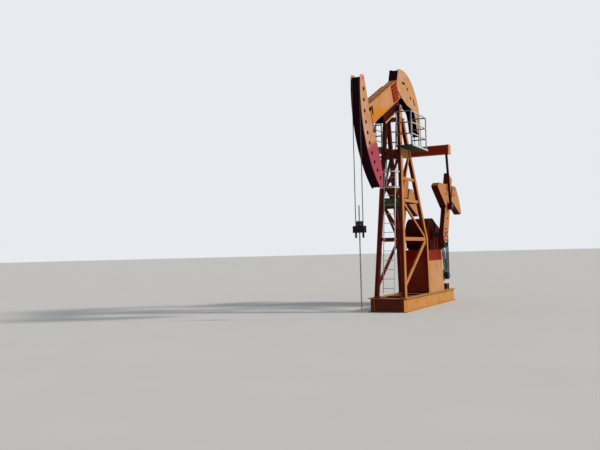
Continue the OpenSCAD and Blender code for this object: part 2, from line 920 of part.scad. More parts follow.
module front_head_plates() {
    lug_t = 24;
    lugs = [[100, -20, 190, 130], [110, 700, 220, 60]];
    color("sandybrown")
        on_beam()
            for (side = [-1, 1]) {
                translate([0, side * (head_w - head_side_t) / 2, 0])
                    difference() {
                        plate_y(head_side_t)
                            head_outline();
                        for (i = [-4.5:4.5])
                            rotate([0, i * head_hole_step, 0])
                                translate([head_hole_in - head_r, 0, 0])
                                    pin_y(head_hole_d, head_side_t + 2);
                    }
                for (lug = lugs)
                    translate([-head_back - lug[0], side * (head_w + lug_t - head_side_t) / 2, lug[1]])
                        translate([0, -(lug_t + head_side_t) / 2, 0])
                            cube([lug[2], lug_t + head_side_t, lug[3]]);
            }
}

module front_head_track() {
    inner = head_w - 2 * head_side_t;
    outer_r = head_r - rope_d / 2;
    rib_t = 12;
    inset = 2;
    rib_w = inner - inset;
    top_len = 336;
    foot_len = 318;
    color("maroon")
        on_beam() {
            plate_y(inner)
                intersection() {
                    difference() {
                        circle(r = outer_r, $fn = arc_fn);
                        circle(r = outer_r - track_t, $fn = arc_fn);
                    }
                    polygon([
                        [0, 0], 1.3 * head_r * [-cos(head_up), sin(head_up)],
                        [-1.5 * head_r, 0],
                        1.3 * head_r * [-cos(head_down), -sin(head_down)]
                    ]);
                }
            for (a = [-20, -8, 12, 22])
                rotate([0, a, 0])
                    translate([track_t / 2 - outer_r, -rib_w / 2, -rib_t / 2])
                        cube([rib_len, rib_w, rib_t]);
            for (end = [[head_up, top_len, -rib_t - inset], [-head_down, foot_len, inset]])
                rotate([0, end[0], 0])
                    translate([track_t / 2 - outer_r, -rib_w / 2, end[2]])
                        cube([end[1], rib_w, rib_t]);
            plate_y(rib_w - inset)
                difference() {
                    head_back_strip(rib_t);
                    translate([-2 * head_back, beam_lift - 1])
                        square([2 * head_back, beam_d + 2]);
                }
        }
}

// Side view of the plate that closes the back of the front head, just inside its side plates
module head_back_strip(t) {
    set_in = 10;
    line = [
        [-head_back - 93, -1605], [-head_back + 8, -1440], [-head_back + 60, -900],
        [-head_back + 30, -400], [-head_back - 60, 100], [-head_back - 80, 500], [-head_back - 16, 1570]
    ];
    n = len(line);
    polygon([for (i = [0:2 * n - 1]) i < n ? line[i] - [set_in, 0] : line[2 * n - 1 - i] - [set_in + t, 0]]);
}

// Side view of the rear head, behind the saddle pin
module rear_outline() {
    tip_r = rear_r + 20;
    step = (rear_from - rear_to) / 24;
    polygon(concat(
        [for (i = [0:24])
            [rear_cx, -rear_cz] + tip_r * [cos(rear_from - i * step), sin(rear_from - i * step)]],
        [
            [1650, -1350], [1700, -1000], [1690, -720], [1575, -520], [1280, -340], [1000, -170],
            [850, -20], [610, 205], [430, 390], [330, 550], [310, 740]
        ]
    ));
}

// Slot across a side plate of the rear head, along the track at an angle and a distance from it
module rear_slot(a, inset, len) {
    translate([rear_cx, 0, -rear_cz])
        rotate([0, -a, 0])
            translate([rear_r - inset, 0, 0]) {
                cube([slot_w, rear_side_t + 2, len - slot_w], center = true);
                for (end = [-1, 1])
                    translate([0, 0, end * (len - slot_w) / 2])
                        pin_y(slot_w, rear_side_t + 2);
            }
}

module rear_head_plates() {
    color("sandybrown")
        on_beam()
            for (side = [-1, 1])
                translate([0, side * (rear_w - rear_side_t) / 2, 0])
                    difference() {
                        plate_y(rear_side_t)
                            rear_outline();
                        rear_slot(62, 420, slot_len);
                        rear_slot(45, 460, slot_len / 2);
                        rear_slot(28, 540, slot_len / 2);
                        rear_slot(14, 340, slot_len);
                        rear_slot(-12, 260, slot_len);
                    }
}

module rear_head_track() {
    inner = rear_w - 2 * rear_side_t;
    outer_r = rear_r - rope_d / 2;
    plate_t = 16;
    plate_w = inner - 2;
    top_end = [rear_cx + outer_r * cos(rear_from), outer_r * sin(rear_from) - rear_cz];
    front_foot = [310, 740];
    run = norm(top_end - front_foot) - 4;
    color("maroon")
        on_beam() {
            plate_y(inner)
                translate([rear_cx, -rear_cz])
                    intersection() {
                        difference() {
                            circle(r = outer_r, $fn = arc_fn);
                            circle(r = outer_r - track_t, $fn = arc_fn);
                        }
                        polygon([
                            [0, 0], 1.4 * rear_r * [cos(rear_from), sin(rear_from)],
                            2 * rear_r * [cos(24), sin(24)],
                            1.4 * rear_r * [cos(rear_to), sin(rear_to)]
                        ]);
                    }
            plate_y(plate_w)
                difference() {
                    translate(front_foot)
                        rotate(atan2(top_end[1] - front_foot[1], top_end[0] - front_foot[0]))
                            translate([0, -plate_t - 2])
                                square([run, plate_t]);
                    square([beam_rear, beam_lift + beam_d]);
                }
        }
}

module crank(side) {
    on_crank()
        translate([0, side * crank_mid, 0])
            difference() {
                plate_y(crank_t) {
                    circle(d = crank_hub_w);
                    polygon([
                        [-crank_hub_w / 2, 0], [crank_hub_w / 2, 0],
                        [crank_tip_w / 2, crank_len], [-crank_tip_w / 2, crank_len]
                    ]);
                }
                pin_y(shaft_d, crank_t + 2);
                translate([0, 0, crank_r])
                    pin_y(pin_d, crank_t + 2);
            }
}

module crank_left() {
    color("sandybrown")
        crank(1);
}

module crank_right() {
    color("sandybrown")
        crank(-1);
}

// Side of the crank at distance z from the shaft, with the seat of the counterweights
function crank_side(z) = (crank_hub_w + (crank_tip_w - crank_hub_w) * z / crank_len) / 2 + seat;

// Outline of one counterweight on the front (-1) or rear (1) side of its crank
module weight_outline(edge, inner, rise, side, r) {
    intersection() {
        circle(r = r, $fn = arc_fn);
        polygon([
            [edge * crank_side(inner), inner],
            [edge * (side - 90), inner + rise],
            [edge * (side - 20), inner + rise + 60],
            [edge * side, inner + rise + 150],
            [edge * side, r],
            [edge * crank_side(r), r]
        ]);
    }
}

// The two weights that sit on a crank's front and rear edges
module counterweights(side) {
    on_crank()
        translate([0, side * crank_mid, 0])
            plate_y(weight_t) {
                weight_outline(-1, front_weight_in, front_weight_rise, front_weight_side, front_weight_r);
                weight_outline(1, rear_weight_in, 0, rear_weight_side, rear_weight_r);
            }
}

module counterweights_left() {
    color("tan")
        counterweights(1);
}

module counterweights_right() {
    color("tan")
        counterweights(-1);
}

module crank_shaft() {
    color("dimgray")
        on_crank()
            pin_y(shaft_d, 2 * (crank_in + crank_t));
}

module crank_pins() {
    nut_len = 110;
    nut_d = pin_d + 40;
    collar_d = pin_d + 70;
    collar_end = pitman_y - eye_len / 2 - 3;
    color("dimgray")
        on_crank()
            for (side = [-1, 1])
                translate([0, 0, crank_r]) {
                    between_y(side, crank_in, pitman_y + eye_len / 2, pin_d);
                    between_y(side, crank_in - nut_len, crank_in, nut_d);
                    between_y(side, crank_in + crank_t, collar_end, collar_d);
                }
}

// Round bar along Y on one side, from distance a to distance b
module between_y(side, a, b, d) {
    translate([0, side * (a + b) / 2, 0])
        pin_y(d, b - a);
}

module pitman(side) {
    difference() {
        union() {
            rod([pin_x, side * pitman_y, pin_h], [cross_x, side * pitman_y, cross_h], pitman_d);
            translate([pin_x, side * pitman_y, pin_h])
                pin_y(eye_d, eye_len);
        }
        translate([pin_x, side * pitman_y, pin_h])
            pin_y(pin_d + 2 * fit, eye_len + 2);
        translate([cross_x - cross_t, side * pitman_y - cross_t, cross_h - cross_d / 2])
            cube([2 * cross_t, 2 * cross_t, cross_d]);
    }
}

module pitman_left() {
    color("brown")
        pitman(1);
}

module pitman_right() {
    color("brown")
        pitman(-1);
}

module cross_beam() {
    lip = 15;
    color("orangered")
        translate([cross_x, 0, cross_h]) {
            cube([cross_t, 2 * cross_half, cross_d], center = true);
            for (side = [-1, 1])
                translate([0, side * (cross_half + end_plate_t / 2), 0])
                    cube([cross_t + 2 * lip, end_plate_t, cross_d + 2 * lip], center = true);
        }
}

module rear_ropes() {
    color("dimgray")
        difference() {
            for (side = [-1, 1])
                translate([0, side * rope_gap / 2, 0])
                    rod([cross_x, 0, cross_h], [touch_x, 0, touch_h], rope_d);
            translate([cross_x, 0, cross_h])
                cube([2 * cross_t, 2 * rope_gap, cross_d], center = true);
        }
}

module front_ropes() {
    color("dimgray")
        for (side = [-1, 1])
            translate([well_x, side * rope_gap / 2, carrier_h])
                cylinder(d = rope_d, h = pivot_h - carrier_h);
}

module carrier_bar() {
    socket_d = 60;
    socket_len = 150;
    color("black")
        difference() {
            union() {
                translate([well_x - carrier_half, -rope_gap / 2 - 65, carrier_h - carrier_d])
                    cube([2 * carrier_half, rope_gap + 130, carrier_d]);
                for (side = [-1, 1])
                    translate([well_x, side * rope_gap / 2, carrier_h - carrier_d - socket_len])
                        cylinder(d = socket_d, h = socket_len + 1);
            }
            translate([well_x, 0, carrier_h - carrier_d - 1])
                cylinder(d = rod_d, h = carrier_d + 2);
        }
}

module rod_clamp() {
    clamp_h = 140;
    color("black")
        difference() {
            translate([well_x - 60, -80, carrier_h])
                cube([120, 160, clamp_h]);
            translate([well_x, 0, carrier_h - 1])
                cylinder(d = rod_d, h = clamp_h + 2);
        }
}

module polished_rod() {
    pin_len = 70;
    color("silver")
        translate([well_x, 0, rod_end_h]) {
            cylinder(d = rod_pin_d, h = pin_len);
            translate([0, 0, pin_len])
                cylinder(d = rod_d, h = carrier_h + rod_top - rod_end_h - pin_len);
        }
}

skid_rails();
skid_cross_members();
gearbox_pedestal();
tower_left_frame();
tower_right_frame();
tower_front_bracing();
tower_rear_bracing();
tower_top_plate();
saddle_bearings();
work_platform();
platform_rails();
rest_platform();
ladder();
ladder_cage();
gearbox_housing();
gearbox_cover();
input_shaft();
large_sheave();
brake_drum();
motor();
motor_mount();
motor_pulley();
drive_belts();
walking_beam();
beam_splice_plates();
saddle_bracket();
saddle_pin();
front_head_plates();
front_head_track();
rear_head_plates();
rear_head_track();
crank_left();
crank_right();
counterweights_left();
counterweights_right();
crank_shaft();
crank_pins();
pitman_left();
pitman_right();
cross_beam();
rear_ropes();
front_ropes();
carrier_bar();
rod_clamp();
polished_rod();
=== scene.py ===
"""Looks of the beam pumping unit: paint, castings, wire ropes, bolts, welds and fittings round the fixed model."""
import math
from itertools import product

import bpy
import numpy as np
from mathutils import Matrix, Vector


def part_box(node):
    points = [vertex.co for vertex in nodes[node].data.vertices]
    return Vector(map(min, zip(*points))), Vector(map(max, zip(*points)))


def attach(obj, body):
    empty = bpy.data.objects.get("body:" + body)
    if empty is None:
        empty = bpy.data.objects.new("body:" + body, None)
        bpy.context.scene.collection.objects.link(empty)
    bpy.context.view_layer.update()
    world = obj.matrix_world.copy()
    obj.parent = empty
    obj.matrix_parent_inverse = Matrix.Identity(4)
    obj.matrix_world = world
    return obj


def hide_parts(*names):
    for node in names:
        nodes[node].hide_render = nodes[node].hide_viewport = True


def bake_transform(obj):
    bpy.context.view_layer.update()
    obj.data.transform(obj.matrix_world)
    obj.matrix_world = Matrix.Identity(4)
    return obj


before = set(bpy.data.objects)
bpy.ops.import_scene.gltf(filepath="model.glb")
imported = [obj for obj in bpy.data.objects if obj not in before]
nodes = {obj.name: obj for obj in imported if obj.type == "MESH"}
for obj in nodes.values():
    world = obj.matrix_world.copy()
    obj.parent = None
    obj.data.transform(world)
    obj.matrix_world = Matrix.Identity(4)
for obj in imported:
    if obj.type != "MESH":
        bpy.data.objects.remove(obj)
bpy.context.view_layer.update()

# Main sizes in metres, the same as in the model's source

WELL_X = -4.03  # the polished rod
HEAD_R = 3.3  # to the middle of the ropes on the front head
REAR_R = 1.889  # the same on the rear head
PIVOT = np.array([WELL_X + HEAD_R, 0.0, 6.69])  # the saddle pin
SHAFT = np.array([WELL_X + 5.95, 0.0, 2.5])  # the crank shaft
SWING = math.radians(26)  # of the beam at rest, rear end up
CRANK_LEAN = math.radians(21)  # of the cranks at rest, to the rear
CRANK_R = 1.098  # from the shaft to the crank pins
CROSS_H = 5.55  # the cross beam
REAR_CENTRE = np.array([0.342, 0.0, -0.708])  # of the rear arc, from the saddle pin
BEAM_W, BEAM_D = 0.28, 0.63
BEAM_LIFT = 0.23  # from the saddle pin to the underside of the beam
BRACKET_FRONT, BRACKET_REAR = 1.45, 0.3  # reach of the bracket under the beam, from the saddle pin
SPLICE_L = 0.52  # the splice plates end above the bracket's rear
SIDE_T, REAR_SIDE_T = 0.012, 0.014  # side plates of the two heads
ROPE_D, ROPE_Y = 0.026, 0.115
CARRIER_H = 2.7  # the carrier bar
CRANK_MID = 0.84  # middle of a crank, sideways
CRANK_T, WEIGHT_T = 0.16, 0.24
GEAR_W, GEAR_R = 0.82, 0.6
INPUT = np.array([SHAFT[0] + 1.23, 0.0, SHAFT[2] - 0.16])  # the fast shaft
SKID_H = 0.45
MOTOR = np.array([INPUT[0] + 0.25, 0.0, SKID_H + 0.52])
FOOT_H, KNEE_H, TOP_H = 0.475, 2.33, 6.33  # of the tower's legs
STRUTS = (KNEE_H, KNEE_H + 1.27, KNEE_H + 2.0, KNEE_H + 2.86)
PLATFORM_H = KNEE_H + 3.01

# Sizes that follow from them: outer faces are measured sideways from the middle plane

SIDES = (-1, 1)
GAP = 0.0004  # keeps a new face from lying in one of the fixed model's
BEAM_TOP = BEAM_LIFT + BEAM_D
HEAD_FACE = BEAM_W / 2 + SIDE_T
REAR_FACE = BEAM_W / 2 + REAR_SIDE_T
GEAR_FACE = GEAR_W / 2
CRANK_FACE = CRANK_MID + CRANK_T / 2
WEIGHT_FACE = CRANK_MID + WEIGHT_T / 2
TRACK_R = HEAD_R - ROPE_D / 2

# Places


def row(x, y, z):
    """Points whose coordinates are numbers or lists of the same length."""
    return np.stack(np.broadcast_arrays(x, y, z), -1).astype(float)


def arc(centre, radius, a):
    """Points at the angles a round a centre in the plane of the machine's side, counted from the rear upwards."""
    return np.asarray(centre, float) + radius * row(np.cos(a), 0.0, np.sin(a))


def tilt(p, angle):
    """Points turned about Y: x becomes x cos - z sin, and z becomes x sin + z cos."""
    p = np.atleast_2d(np.asarray(p, float))
    c, s = math.cos(angle), math.sin(angle)
    return row(p[:, 0] * c - p[:, 2] * s, p[:, 1], p[:, 0] * s + p[:, 2] * c)


def on_beam(p):
    """Points given from the saddle pin with the beam level, brought to their place with the rear end up."""
    return tilt(p, SWING) + PIVOT


def on_crank(p):
    """Points given from the crank shaft with the crank upright, brought to their place."""
    return tilt(p, -CRANK_LEAN) + SHAFT


# Shapes, each an array of points and a list of faces


def placed(part, way):
    """A shape carried to its place by one of the functions on_beam and on_crank."""
    return way(part[0]), part[1]


def merge(parts):
    """Several shapes joined into one, with each part's face numbers moved on by the points before it."""
    points, faces, count = [], [], 0
    for p, f in parts:
        points.append(p)
        faces += [[i + count for i in face] for face in f]
        count += len(p)
    return np.concatenate(points), faces


def make_mesh(name, parts, body, material, smooth=False):
    """One mesh object at the origin, made of some shapes and riding on a body."""
    points, faces = merge(parts)
    mesh = bpy.data.meshes.new(name)
    mesh.from_pydata(points.tolist(), [], faces)
    mesh.validate()
    mesh.materials.append(material)
    if smooth:
        mesh.polygons.foreach_set("use_smooth", np.ones(len(mesh.polygons), bool))
    piece = bpy.data.objects.new(name, mesh)
    bpy.context.scene.collection.objects.link(piece)
    if body:
        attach(piece, body)
    return piece


def ring_faces(rows, cols):
    """Quads between neighbouring rings of points, and one face over each end."""
    r, c = np.arange(rows - 1)[:, None] * cols, np.arange(cols)[None, :]
    n = (c + 1) % cols
    walls = np.stack([r + c, r + n, r + cols + n, r + cols + c], -1).reshape(-1, 4)
    last = (rows - 1) * cols
    return walls.tolist() + [list(range(cols))[::-1], list(range(last, last + cols))]


def outward(points, faces):
    """Faces of a convex shape, turned over where their normal points towards the middle."""
    middle = points.mean(0)
    good = []
    for f in faces:
        a, b, c = points[f[0]], points[f[1]], points[f[2]]
        n = np.cross(b - a, c - a)
        good.append(f if n @ (points[f].mean(0) - middle) > 0 else f[::-1])
    return good


def circle(count):
    """Evenly spread angles of a full turn."""
    return np.arange(count) * 2 * math.pi / count


def unit(v):
    """Rows of vectors, each divided by its length."""
    return v / np.linalg.norm(v, axis=1)[:, None]


def across(path):
    """Two unit vectors across each point of a path: the first is also square to Y, the second to the first."""
    t = unit(np.gradient(path, axis=0))
    side = np.cross(t, [0.0, 1.0, 0.0])
    side[np.linalg.norm(side, axis=1) < 1e-6] = [1.0, 0.0, 0.0]
    side = unit(side)
    return side, np.cross(t, side)


def tube(path, radius, sides):
    """Ring k of the tube is path point k plus radius times (cos a, sin a) across the path."""
    path = np.asarray(path, float)
    radius = np.broadcast_to(np.asarray(radius, float), len(path))
    u, v = across(path)
    a = circle(sides)
    ring = np.cos(a)[None, :, None] * u[:, None] + np.sin(a)[None, :, None] * v[:, None]
    return (path[:, None] + radius[:, None, None] * ring).reshape(-1, 3), ring_faces(len(path), sides)


def turning(profile, sides):
    """Each (radius, height) of a profile gives a ring of radius times (cos a, sin a) at its height above z = 0."""
    a = circle(sides)
    return np.concatenate([row(r * np.cos(a), r * np.sin(a), h) for r, h in profile]), ring_faces(len(profile), sides)


def lathe(profile, centre, side, sides):
    """A turned profile whose axis runs from centre along Y to one side."""
    p, faces = turning(profile, sides)
    return centre + row(side * p[:, 0], side * p[:, 2], -p[:, 1]), faces


def bolts(places, axis, wide, high, washer):
    """Each bolt is a washer disc and a six-sided head with a worn top, turned about Z and set up along the axis."""
    sunk, disc = 0.002, 0.003
    places = np.atleast_2d(np.asarray(places, float))
    z = unit(np.broadcast_to(np.asarray(axis, float), places.shape))
    off_axis = [0.36, 0.48, 0.8]
    x = unit(np.cross(z, off_axis))
    y = np.cross(z, x)
    r = wide / 2 / math.cos(math.pi / 6)
    parts = [turning([(r * 1.35, -sunk), (r * 1.35, disc)], 12)] if washer else []
    parts.append(turning([(r, disc if washer else -sunk), (r, high * 0.86), (r * 0.8, high)], 6))
    local, faces = merge(parts)
    return merge([(p + local @ np.array([i, j, k]), faces) for p, i, j, k in zip(places, x, y, z)])


def block(low, high, bevel=0.004):
    """A box with its edges cut at 45 degrees: its 24 corner points are each moved in from the corner along two axes."""
    def at(axis, end, a, b, keep):
        """The number of the point at one corner that stays in the face across the axis keep."""
        s = [a, b]
        s.insert(axis, end)
        return 3 * (4 * s[0] + 2 * s[1] + s[2]) + keep

    low, high = np.asarray(low, float), np.asarray(high, float)
    points = []
    for s in product((0, 1), repeat=3):
        corner = np.where(s, high, low)
        for keep in range(3):
            p = corner + np.where(s, -bevel, bevel)
            p[keep] = corner[keep]
            points.append(p)
    points, faces = np.array(points), []
    for k in range(3):
        i, j = [axis for axis in range(3) if axis != k]
        for end in (0, 1):
            faces.append([at(k, end, a, b, k) for a, b in ((0, 0), (1, 0), (1, 1), (0, 1))])
        for a, b in product((0, 1), repeat=2):
            faces.append([at(k, 0, a, b, i), at(k, 1, a, b, i), at(k, 1, a, b, j), at(k, 0, a, b, j)])
    faces += [[3 * n, 3 * n + 1, 3 * n + 2] for n in range(8)]
    return points, outward(points, faces)


def blocks(low, high, bevel=0.004, way=None):
    """Two blocks, one on each side, whose y is measured sideways from the middle plane."""
    pair = []
    for side in SIDES:
        a, b = np.array(low, float), np.array(high, float)
        a[1], b[1] = sorted((side * low[1], side * high[1]))
        pair.append(block(a, b, bevel))
    return [placed(part, way) for part in pair] if way else pair


def weld(a, b):
    """A weld bead from a to b: a thin tube whose radius rises and falls with every pass of the rod."""
    size, step = 0.008, 0.012
    n = max(4, int(np.linalg.norm(b - a) / step))
    t = np.linspace(0, 1, n)[:, None]
    ripple = size * (1 + 0.12 * np.sin(np.arange(n) * 2.1))
    return tube(a + t * (b - a), ripple, 6)


def bar(a, b, wide, deep, level=None):
    """A straight bar from a to b with a slightly cut-off rectangular section, wide across the machine and deep in the
    plane of its side. Where level gives two heights, each end is cut level there."""
    a, b = np.asarray(a, float), np.asarray(b, float)
    way = (b - a) / np.linalg.norm(b - a)
    u = np.cross([0.0, 1.0, 0.0], way)
    u /= np.linalg.norm(u)
    v = np.cross(way, u)
    d, w = deep / 2, wide / 2
    c = min(0.006, 0.3 * min(d, w))
    half = [[d, w - c], [d - c, w], [c - d, w], [-d, w - c]]
    section = np.array(half + [[-i, -j] for i, j in half])
    ring = section[:, :1] * u + section[:, 1:] * v
    points = np.concatenate([a + ring, b + ring])
    if level:
        points += (np.repeat(level, 8) - points[:, 2])[:, None] / way[2] * way
    return points, outward(points, ring_faces(2, 8))


def strap(path, tall, thick):
    """A flat bar on edge along a level path: its section is tall upwards and thick across the path."""
    path = np.asarray(path, float)
    out = np.cross([0.0, 0.0, 1.0], unit(np.gradient(path, axis=0))) * thick / 2
    rise = np.array([0.0, 0.0, tall / 2])
    points = np.stack([path - out - rise, path + out - rise, path + out + rise, path - out + rise], 1)
    return points.reshape(-1, 3), ring_faces(len(path), 4)


def wire_rope(path, diameter=ROPE_D, strands=6, lay=0.2):
    """Strand j of a wire rope circles the rope's line at two thirds of its radius, once for each lay length."""
    run = np.concatenate([[0], np.cumsum(np.linalg.norm(np.diff(path, axis=0), axis=1))])
    u, v = across(path)
    parts = []
    for j in range(strands):
        a = 2 * math.pi * (run / lay + j / strands)
        line = path + diameter * 0.32 * (np.cos(a)[:, None] * u + np.sin(a)[:, None] * v)
        parts.append(tube(line, diameter * 0.18, 6))
    parts.append(tube(path, diameter * 0.2, 6))
    return merge(parts)


# Shader node groups


def new_group(name, inputs, outputs):
    """An empty shader group with sockets given as (name, kind, value)."""
    group = bpy.data.node_groups.new(name, "ShaderNodeTree")
    for label, kind, value in inputs:
        socket = group.interface.new_socket(name=label, in_out="INPUT", socket_type="NodeSocket" + kind)
        if value is not None:
            socket.default_value = value
    for label, kind in outputs:
        group.interface.new_socket(name=label, in_out="OUTPUT", socket_type="NodeSocket" + kind)
    return group, group.nodes.new("NodeGroupInput"), group.nodes.new("NodeGroupOutput")


class Maker:
    """Adds nodes to one tree and links them, so that a material reads as a list of steps."""

    def __init__(self, tree):
        self.tree = tree

    def feed(self, socket, value):
        """Links an output to a socket, or sets the socket's own value."""
        if isinstance(value, bpy.types.NodeSocket):
            self.tree.links.new(value, socket)
        else:
            socket.default_value = value

    def fill(self, node, *values):
        """Feeds a node's sockets in their order and gives its outputs."""
        for socket, value in zip(node.inputs, values):
            self.feed(socket, value)
        return node.outputs

    def put(self, kind, **values):
        """A new node of a kind, with settings by attribute name and sockets by socket name."""
        node = self.tree.nodes.new("ShaderNode" + kind)
        for key, value in values.items():
            if hasattr(node, key):
                setattr(node, key, value)
            else:
                self.feed(node.inputs[key.replace("_", " ")], value)
        return node

    def noise(self, where, scale, detail, rough=0.55, stretch=None):
        """Noise value at a place, with the place stretched first where three factors are given."""
        if stretch:
            where = self.put("Mapping", Vector=where, Scale=stretch).outputs["Vector"]
        return self.put("TexNoise", Vector=where, Scale=scale, Detail=detail, Roughness=rough).outputs["Fac"]

    def math(self, operation, *values, clamp=False):
        """Arithmetic on one, two or three values."""
        return self.fill(self.put("Math", operation=operation, use_clamp=clamp), *values)[0]

    def weigh(self, *pairs, plus=0.0):
        """The sum of some values, each times its weight, and of one more number or value."""
        for value, weight in pairs:
            plus = self.math("MULTIPLY_ADD", value, weight, plus)
        return plus

    def ramp(self, value, low, high, out_low=0.0, out_high=1.0):
        """A value carried from one range to another, held at the ends."""
        return self.put("MapRange", interpolation_type="SMOOTHSTEP", Value=value, From_Min=low, From_Max=high,
                        To_Min=out_low, To_Max=out_high).outputs["Result"]

    def blend(self, share, a, b, way="MIX"):
        """Two colours mixed by a share."""
        node = self.put("Mix", data_type="RGBA", blend_type=way)
        for k, value in ((0, share), (6, a), (7, b)):
            self.feed(node.inputs[k], value)
        return node.outputs[2]


def weather_group():
    """Old paint: broad fading, dark runs down the face, fine mottling and rust spots. It gives a colour, a roughness
    and a height."""
    group, given, made = new_group(
        "weathered coat",
        [("Place", "Vector", None), ("Coat", "Color", (0.5, 0.2, 0.1, 1)), ("Faded", "Color", (0.6, 0.4, 0.3, 1)),
         ("Stain", "Color", (0.1, 0.04, 0.03, 1)), ("Fading", "Float", 0.5), ("Runs", "Float", 0.5),
         ("Rust", "Float", 0.4)],
        [("Colour", "Color"), ("Rough", "Float"), ("Height", "Float")])
    m = Maker(group)
    at, coat, faded, stain, fading, runs, rust = given.outputs[:7]
    broad = m.ramp(m.noise(at, 0.9, 3.0), 0.38, 0.66)
    patches = m.ramp(m.noise(at, 4.5, 6.0, 0.62), 0.45, 0.7)
    fade = m.math("MULTIPLY", m.weigh((broad, 0.6), (patches, 0.4)), fading, clamp=True)
    colour = m.blend(fade, coat, faded)
    wide = m.ramp(m.noise(at, 3.0, 5.0, 0.6, (4.0, 4.0, 0.35)), 0.5, 0.72)
    thin = m.ramp(m.noise(at, 16.0, 4.0, 0.6, (3.0, 3.0, 0.25)), 0.52, 0.74)
    dirt = m.math("MULTIPLY", m.weigh((wide, 0.7), (thin, 0.3)), runs, clamp=True)
    colour = m.blend(dirt, colour, stain)
    fine = m.noise(at, 70.0, 3.0, 0.7)
    colour = m.blend(1.0, colour, m.ramp(fine, 0.25, 0.75, 0.86, 1.08), "MULTIPLY")
    edge = m.weigh((rust, -0.14), plus=0.72)
    spots = m.ramp(m.noise(at, 7.0, 9.0, 0.68), edge, m.math("ADD", edge, 0.035))
    deep = m.blend(m.noise(at, 34.0, 5.0, 0.7), (0.055, 0.018, 0.009, 1), (0.24, 0.085, 0.03, 1))
    colour = m.blend(m.math("MULTIPLY", spots, 0.85), colour, deep)
    rough = m.weigh((fade, 0.16), (spots, 0.25), (fine, 0.12))
    height = m.weigh((fine, 0.25), (patches, 0.2), (spots, -0.8))
    m.fill(made, colour, rough, height)
    return group


def grain_group():
    """Bare or cast metal: pits and soft dents from two noises; gives a shade, a roughness change and a height."""
    group, given, made = new_group("metal grain", [("Place", "Vector", None), ("Scale", "Float", 40.0)],
                                   [("Shade", "Float"), ("Rough", "Float"), ("Height", "Float")])
    m = Maker(group)
    at, scale = given.outputs[:2]
    pits, dents = m.noise(at, scale, 6.0, 0.7), m.noise(at, 5.0, 3.0)
    shade = m.ramp(m.weigh((pits, 0.5), (dents, 0.5)), 0.3, 0.7)
    m.fill(made, shade, m.ramp(dents, 0.3, 0.7, 0.0, 0.22), m.weigh((dents, 0.4), plus=pits))
    return group


def sunlit_side_group():
    """Painted light by which way a face looks: 1 on faces turned to either side, to the rear or to the sky, which take
    the lit colour, 0 on the others, which keep the shaded coat.
    """
    group, given, made = new_group("sunny side", [("Facing", "Vector", None), ("Place", "Vector", None)],
                                   [("Share", "Float")])
    m = Maker(group)
    facing, place = given.outputs[:2]
    rear, side, up = m.put("SeparateXYZ", Vector=facing).outputs
    ragged = 0.35
    turned = m.weigh((up, 0.45), (m.math("ABSOLUTE", side), 0.9), (rear, 0.3),
                     (m.noise(place, 6.0, 5.0), ragged), plus=-ragged / 2)
    m.fill(made, m.ramp(turned, 0.08, 0.42))
    return group


WEATHER = weather_group()
GRAIN = grain_group()
SUNLIT_SIDE = sunlit_side_group()

# Materials


def rgb(r, g, b):
    """A screen colour of 0 to 255 as the linear colour of a shader socket."""
    c = np.array([r, g, b]) / 255
    return tuple(np.where(c <= 0.04045, c / 12.92, ((c + 0.055) / 1.055) ** 2.4)) + (1.0,)


def new_material(name):
    """A new material with its Principled shader and its coordinates."""
    material = bpy.data.materials.new(name)
    material.use_nodes = True
    m = Maker(material.node_tree)
    return material, m, material.node_tree.nodes["Principled BSDF"], m.put("TexCoord").outputs


def finish_off(m, shader, group, base_rough, height, strength, distance):
    """The group's roughness goes to the shader on top of a base, and the height turns the shader's normal."""
    m.feed(shader.inputs["Roughness"], m.math("ADD", group.outputs["Rough"], base_rough, clamp=True))
    bump = m.put("Bump", Strength=strength, Distance=distance, Height=height)
    m.feed(shader.inputs["Normal"], bump.outputs["Normal"])


def measured(m, operation, place, other):
    """The dot product of a place and a direction, or its distance from a point."""
    return m.fill(m.put("VectorMath", operation=operation), place, other)["Value"]


def zone(m, place, along, begin, end):
    """1 where the place measured along a direction is past end, 0 before begin, smooth between, with a ragged edge."""
    ragged = abs(end - begin)
    past = measured(m, "DOT_PRODUCT", place, along)
    return m.ramp(m.weigh((m.noise(place, 5.0, 6.0), ragged), plus=m.math("SUBTRACT", past, ragged / 2)), begin, end)


def patch(m, place, centre, reach):
    """1 near a point and 0 past reach from it, with an edge broken up by noise."""
    ragged = reach * 1.2
    far = measured(m, "DISTANCE", place, centre)
    far = m.weigh((m.noise(place, 7.0, 6.0, 0.65), ragged), plus=m.math("SUBTRACT", far, ragged / 2))
    return m.ramp(far, reach, reach * 0.6)


def lozenges(m, place, height):
    """A raised tread where two slanting rows of waves meet, over a weakened height."""
    x, y, _ = m.put("SeparateXYZ", Vector=place).outputs
    rows = m.math("SINE", m.math("MULTIPLY", m.math("ADD", x, y), 110.0))
    columns = m.math("SINE", m.math("MULTIPLY", m.math("SUBTRACT", x, y), 55.0))
    return m.weigh((height, 0.5), plus=m.ramp(m.math("MULTIPLY", rows, columns), 0.35, 0.6))


OCHRE = (0.98, 0.9, 0.58)


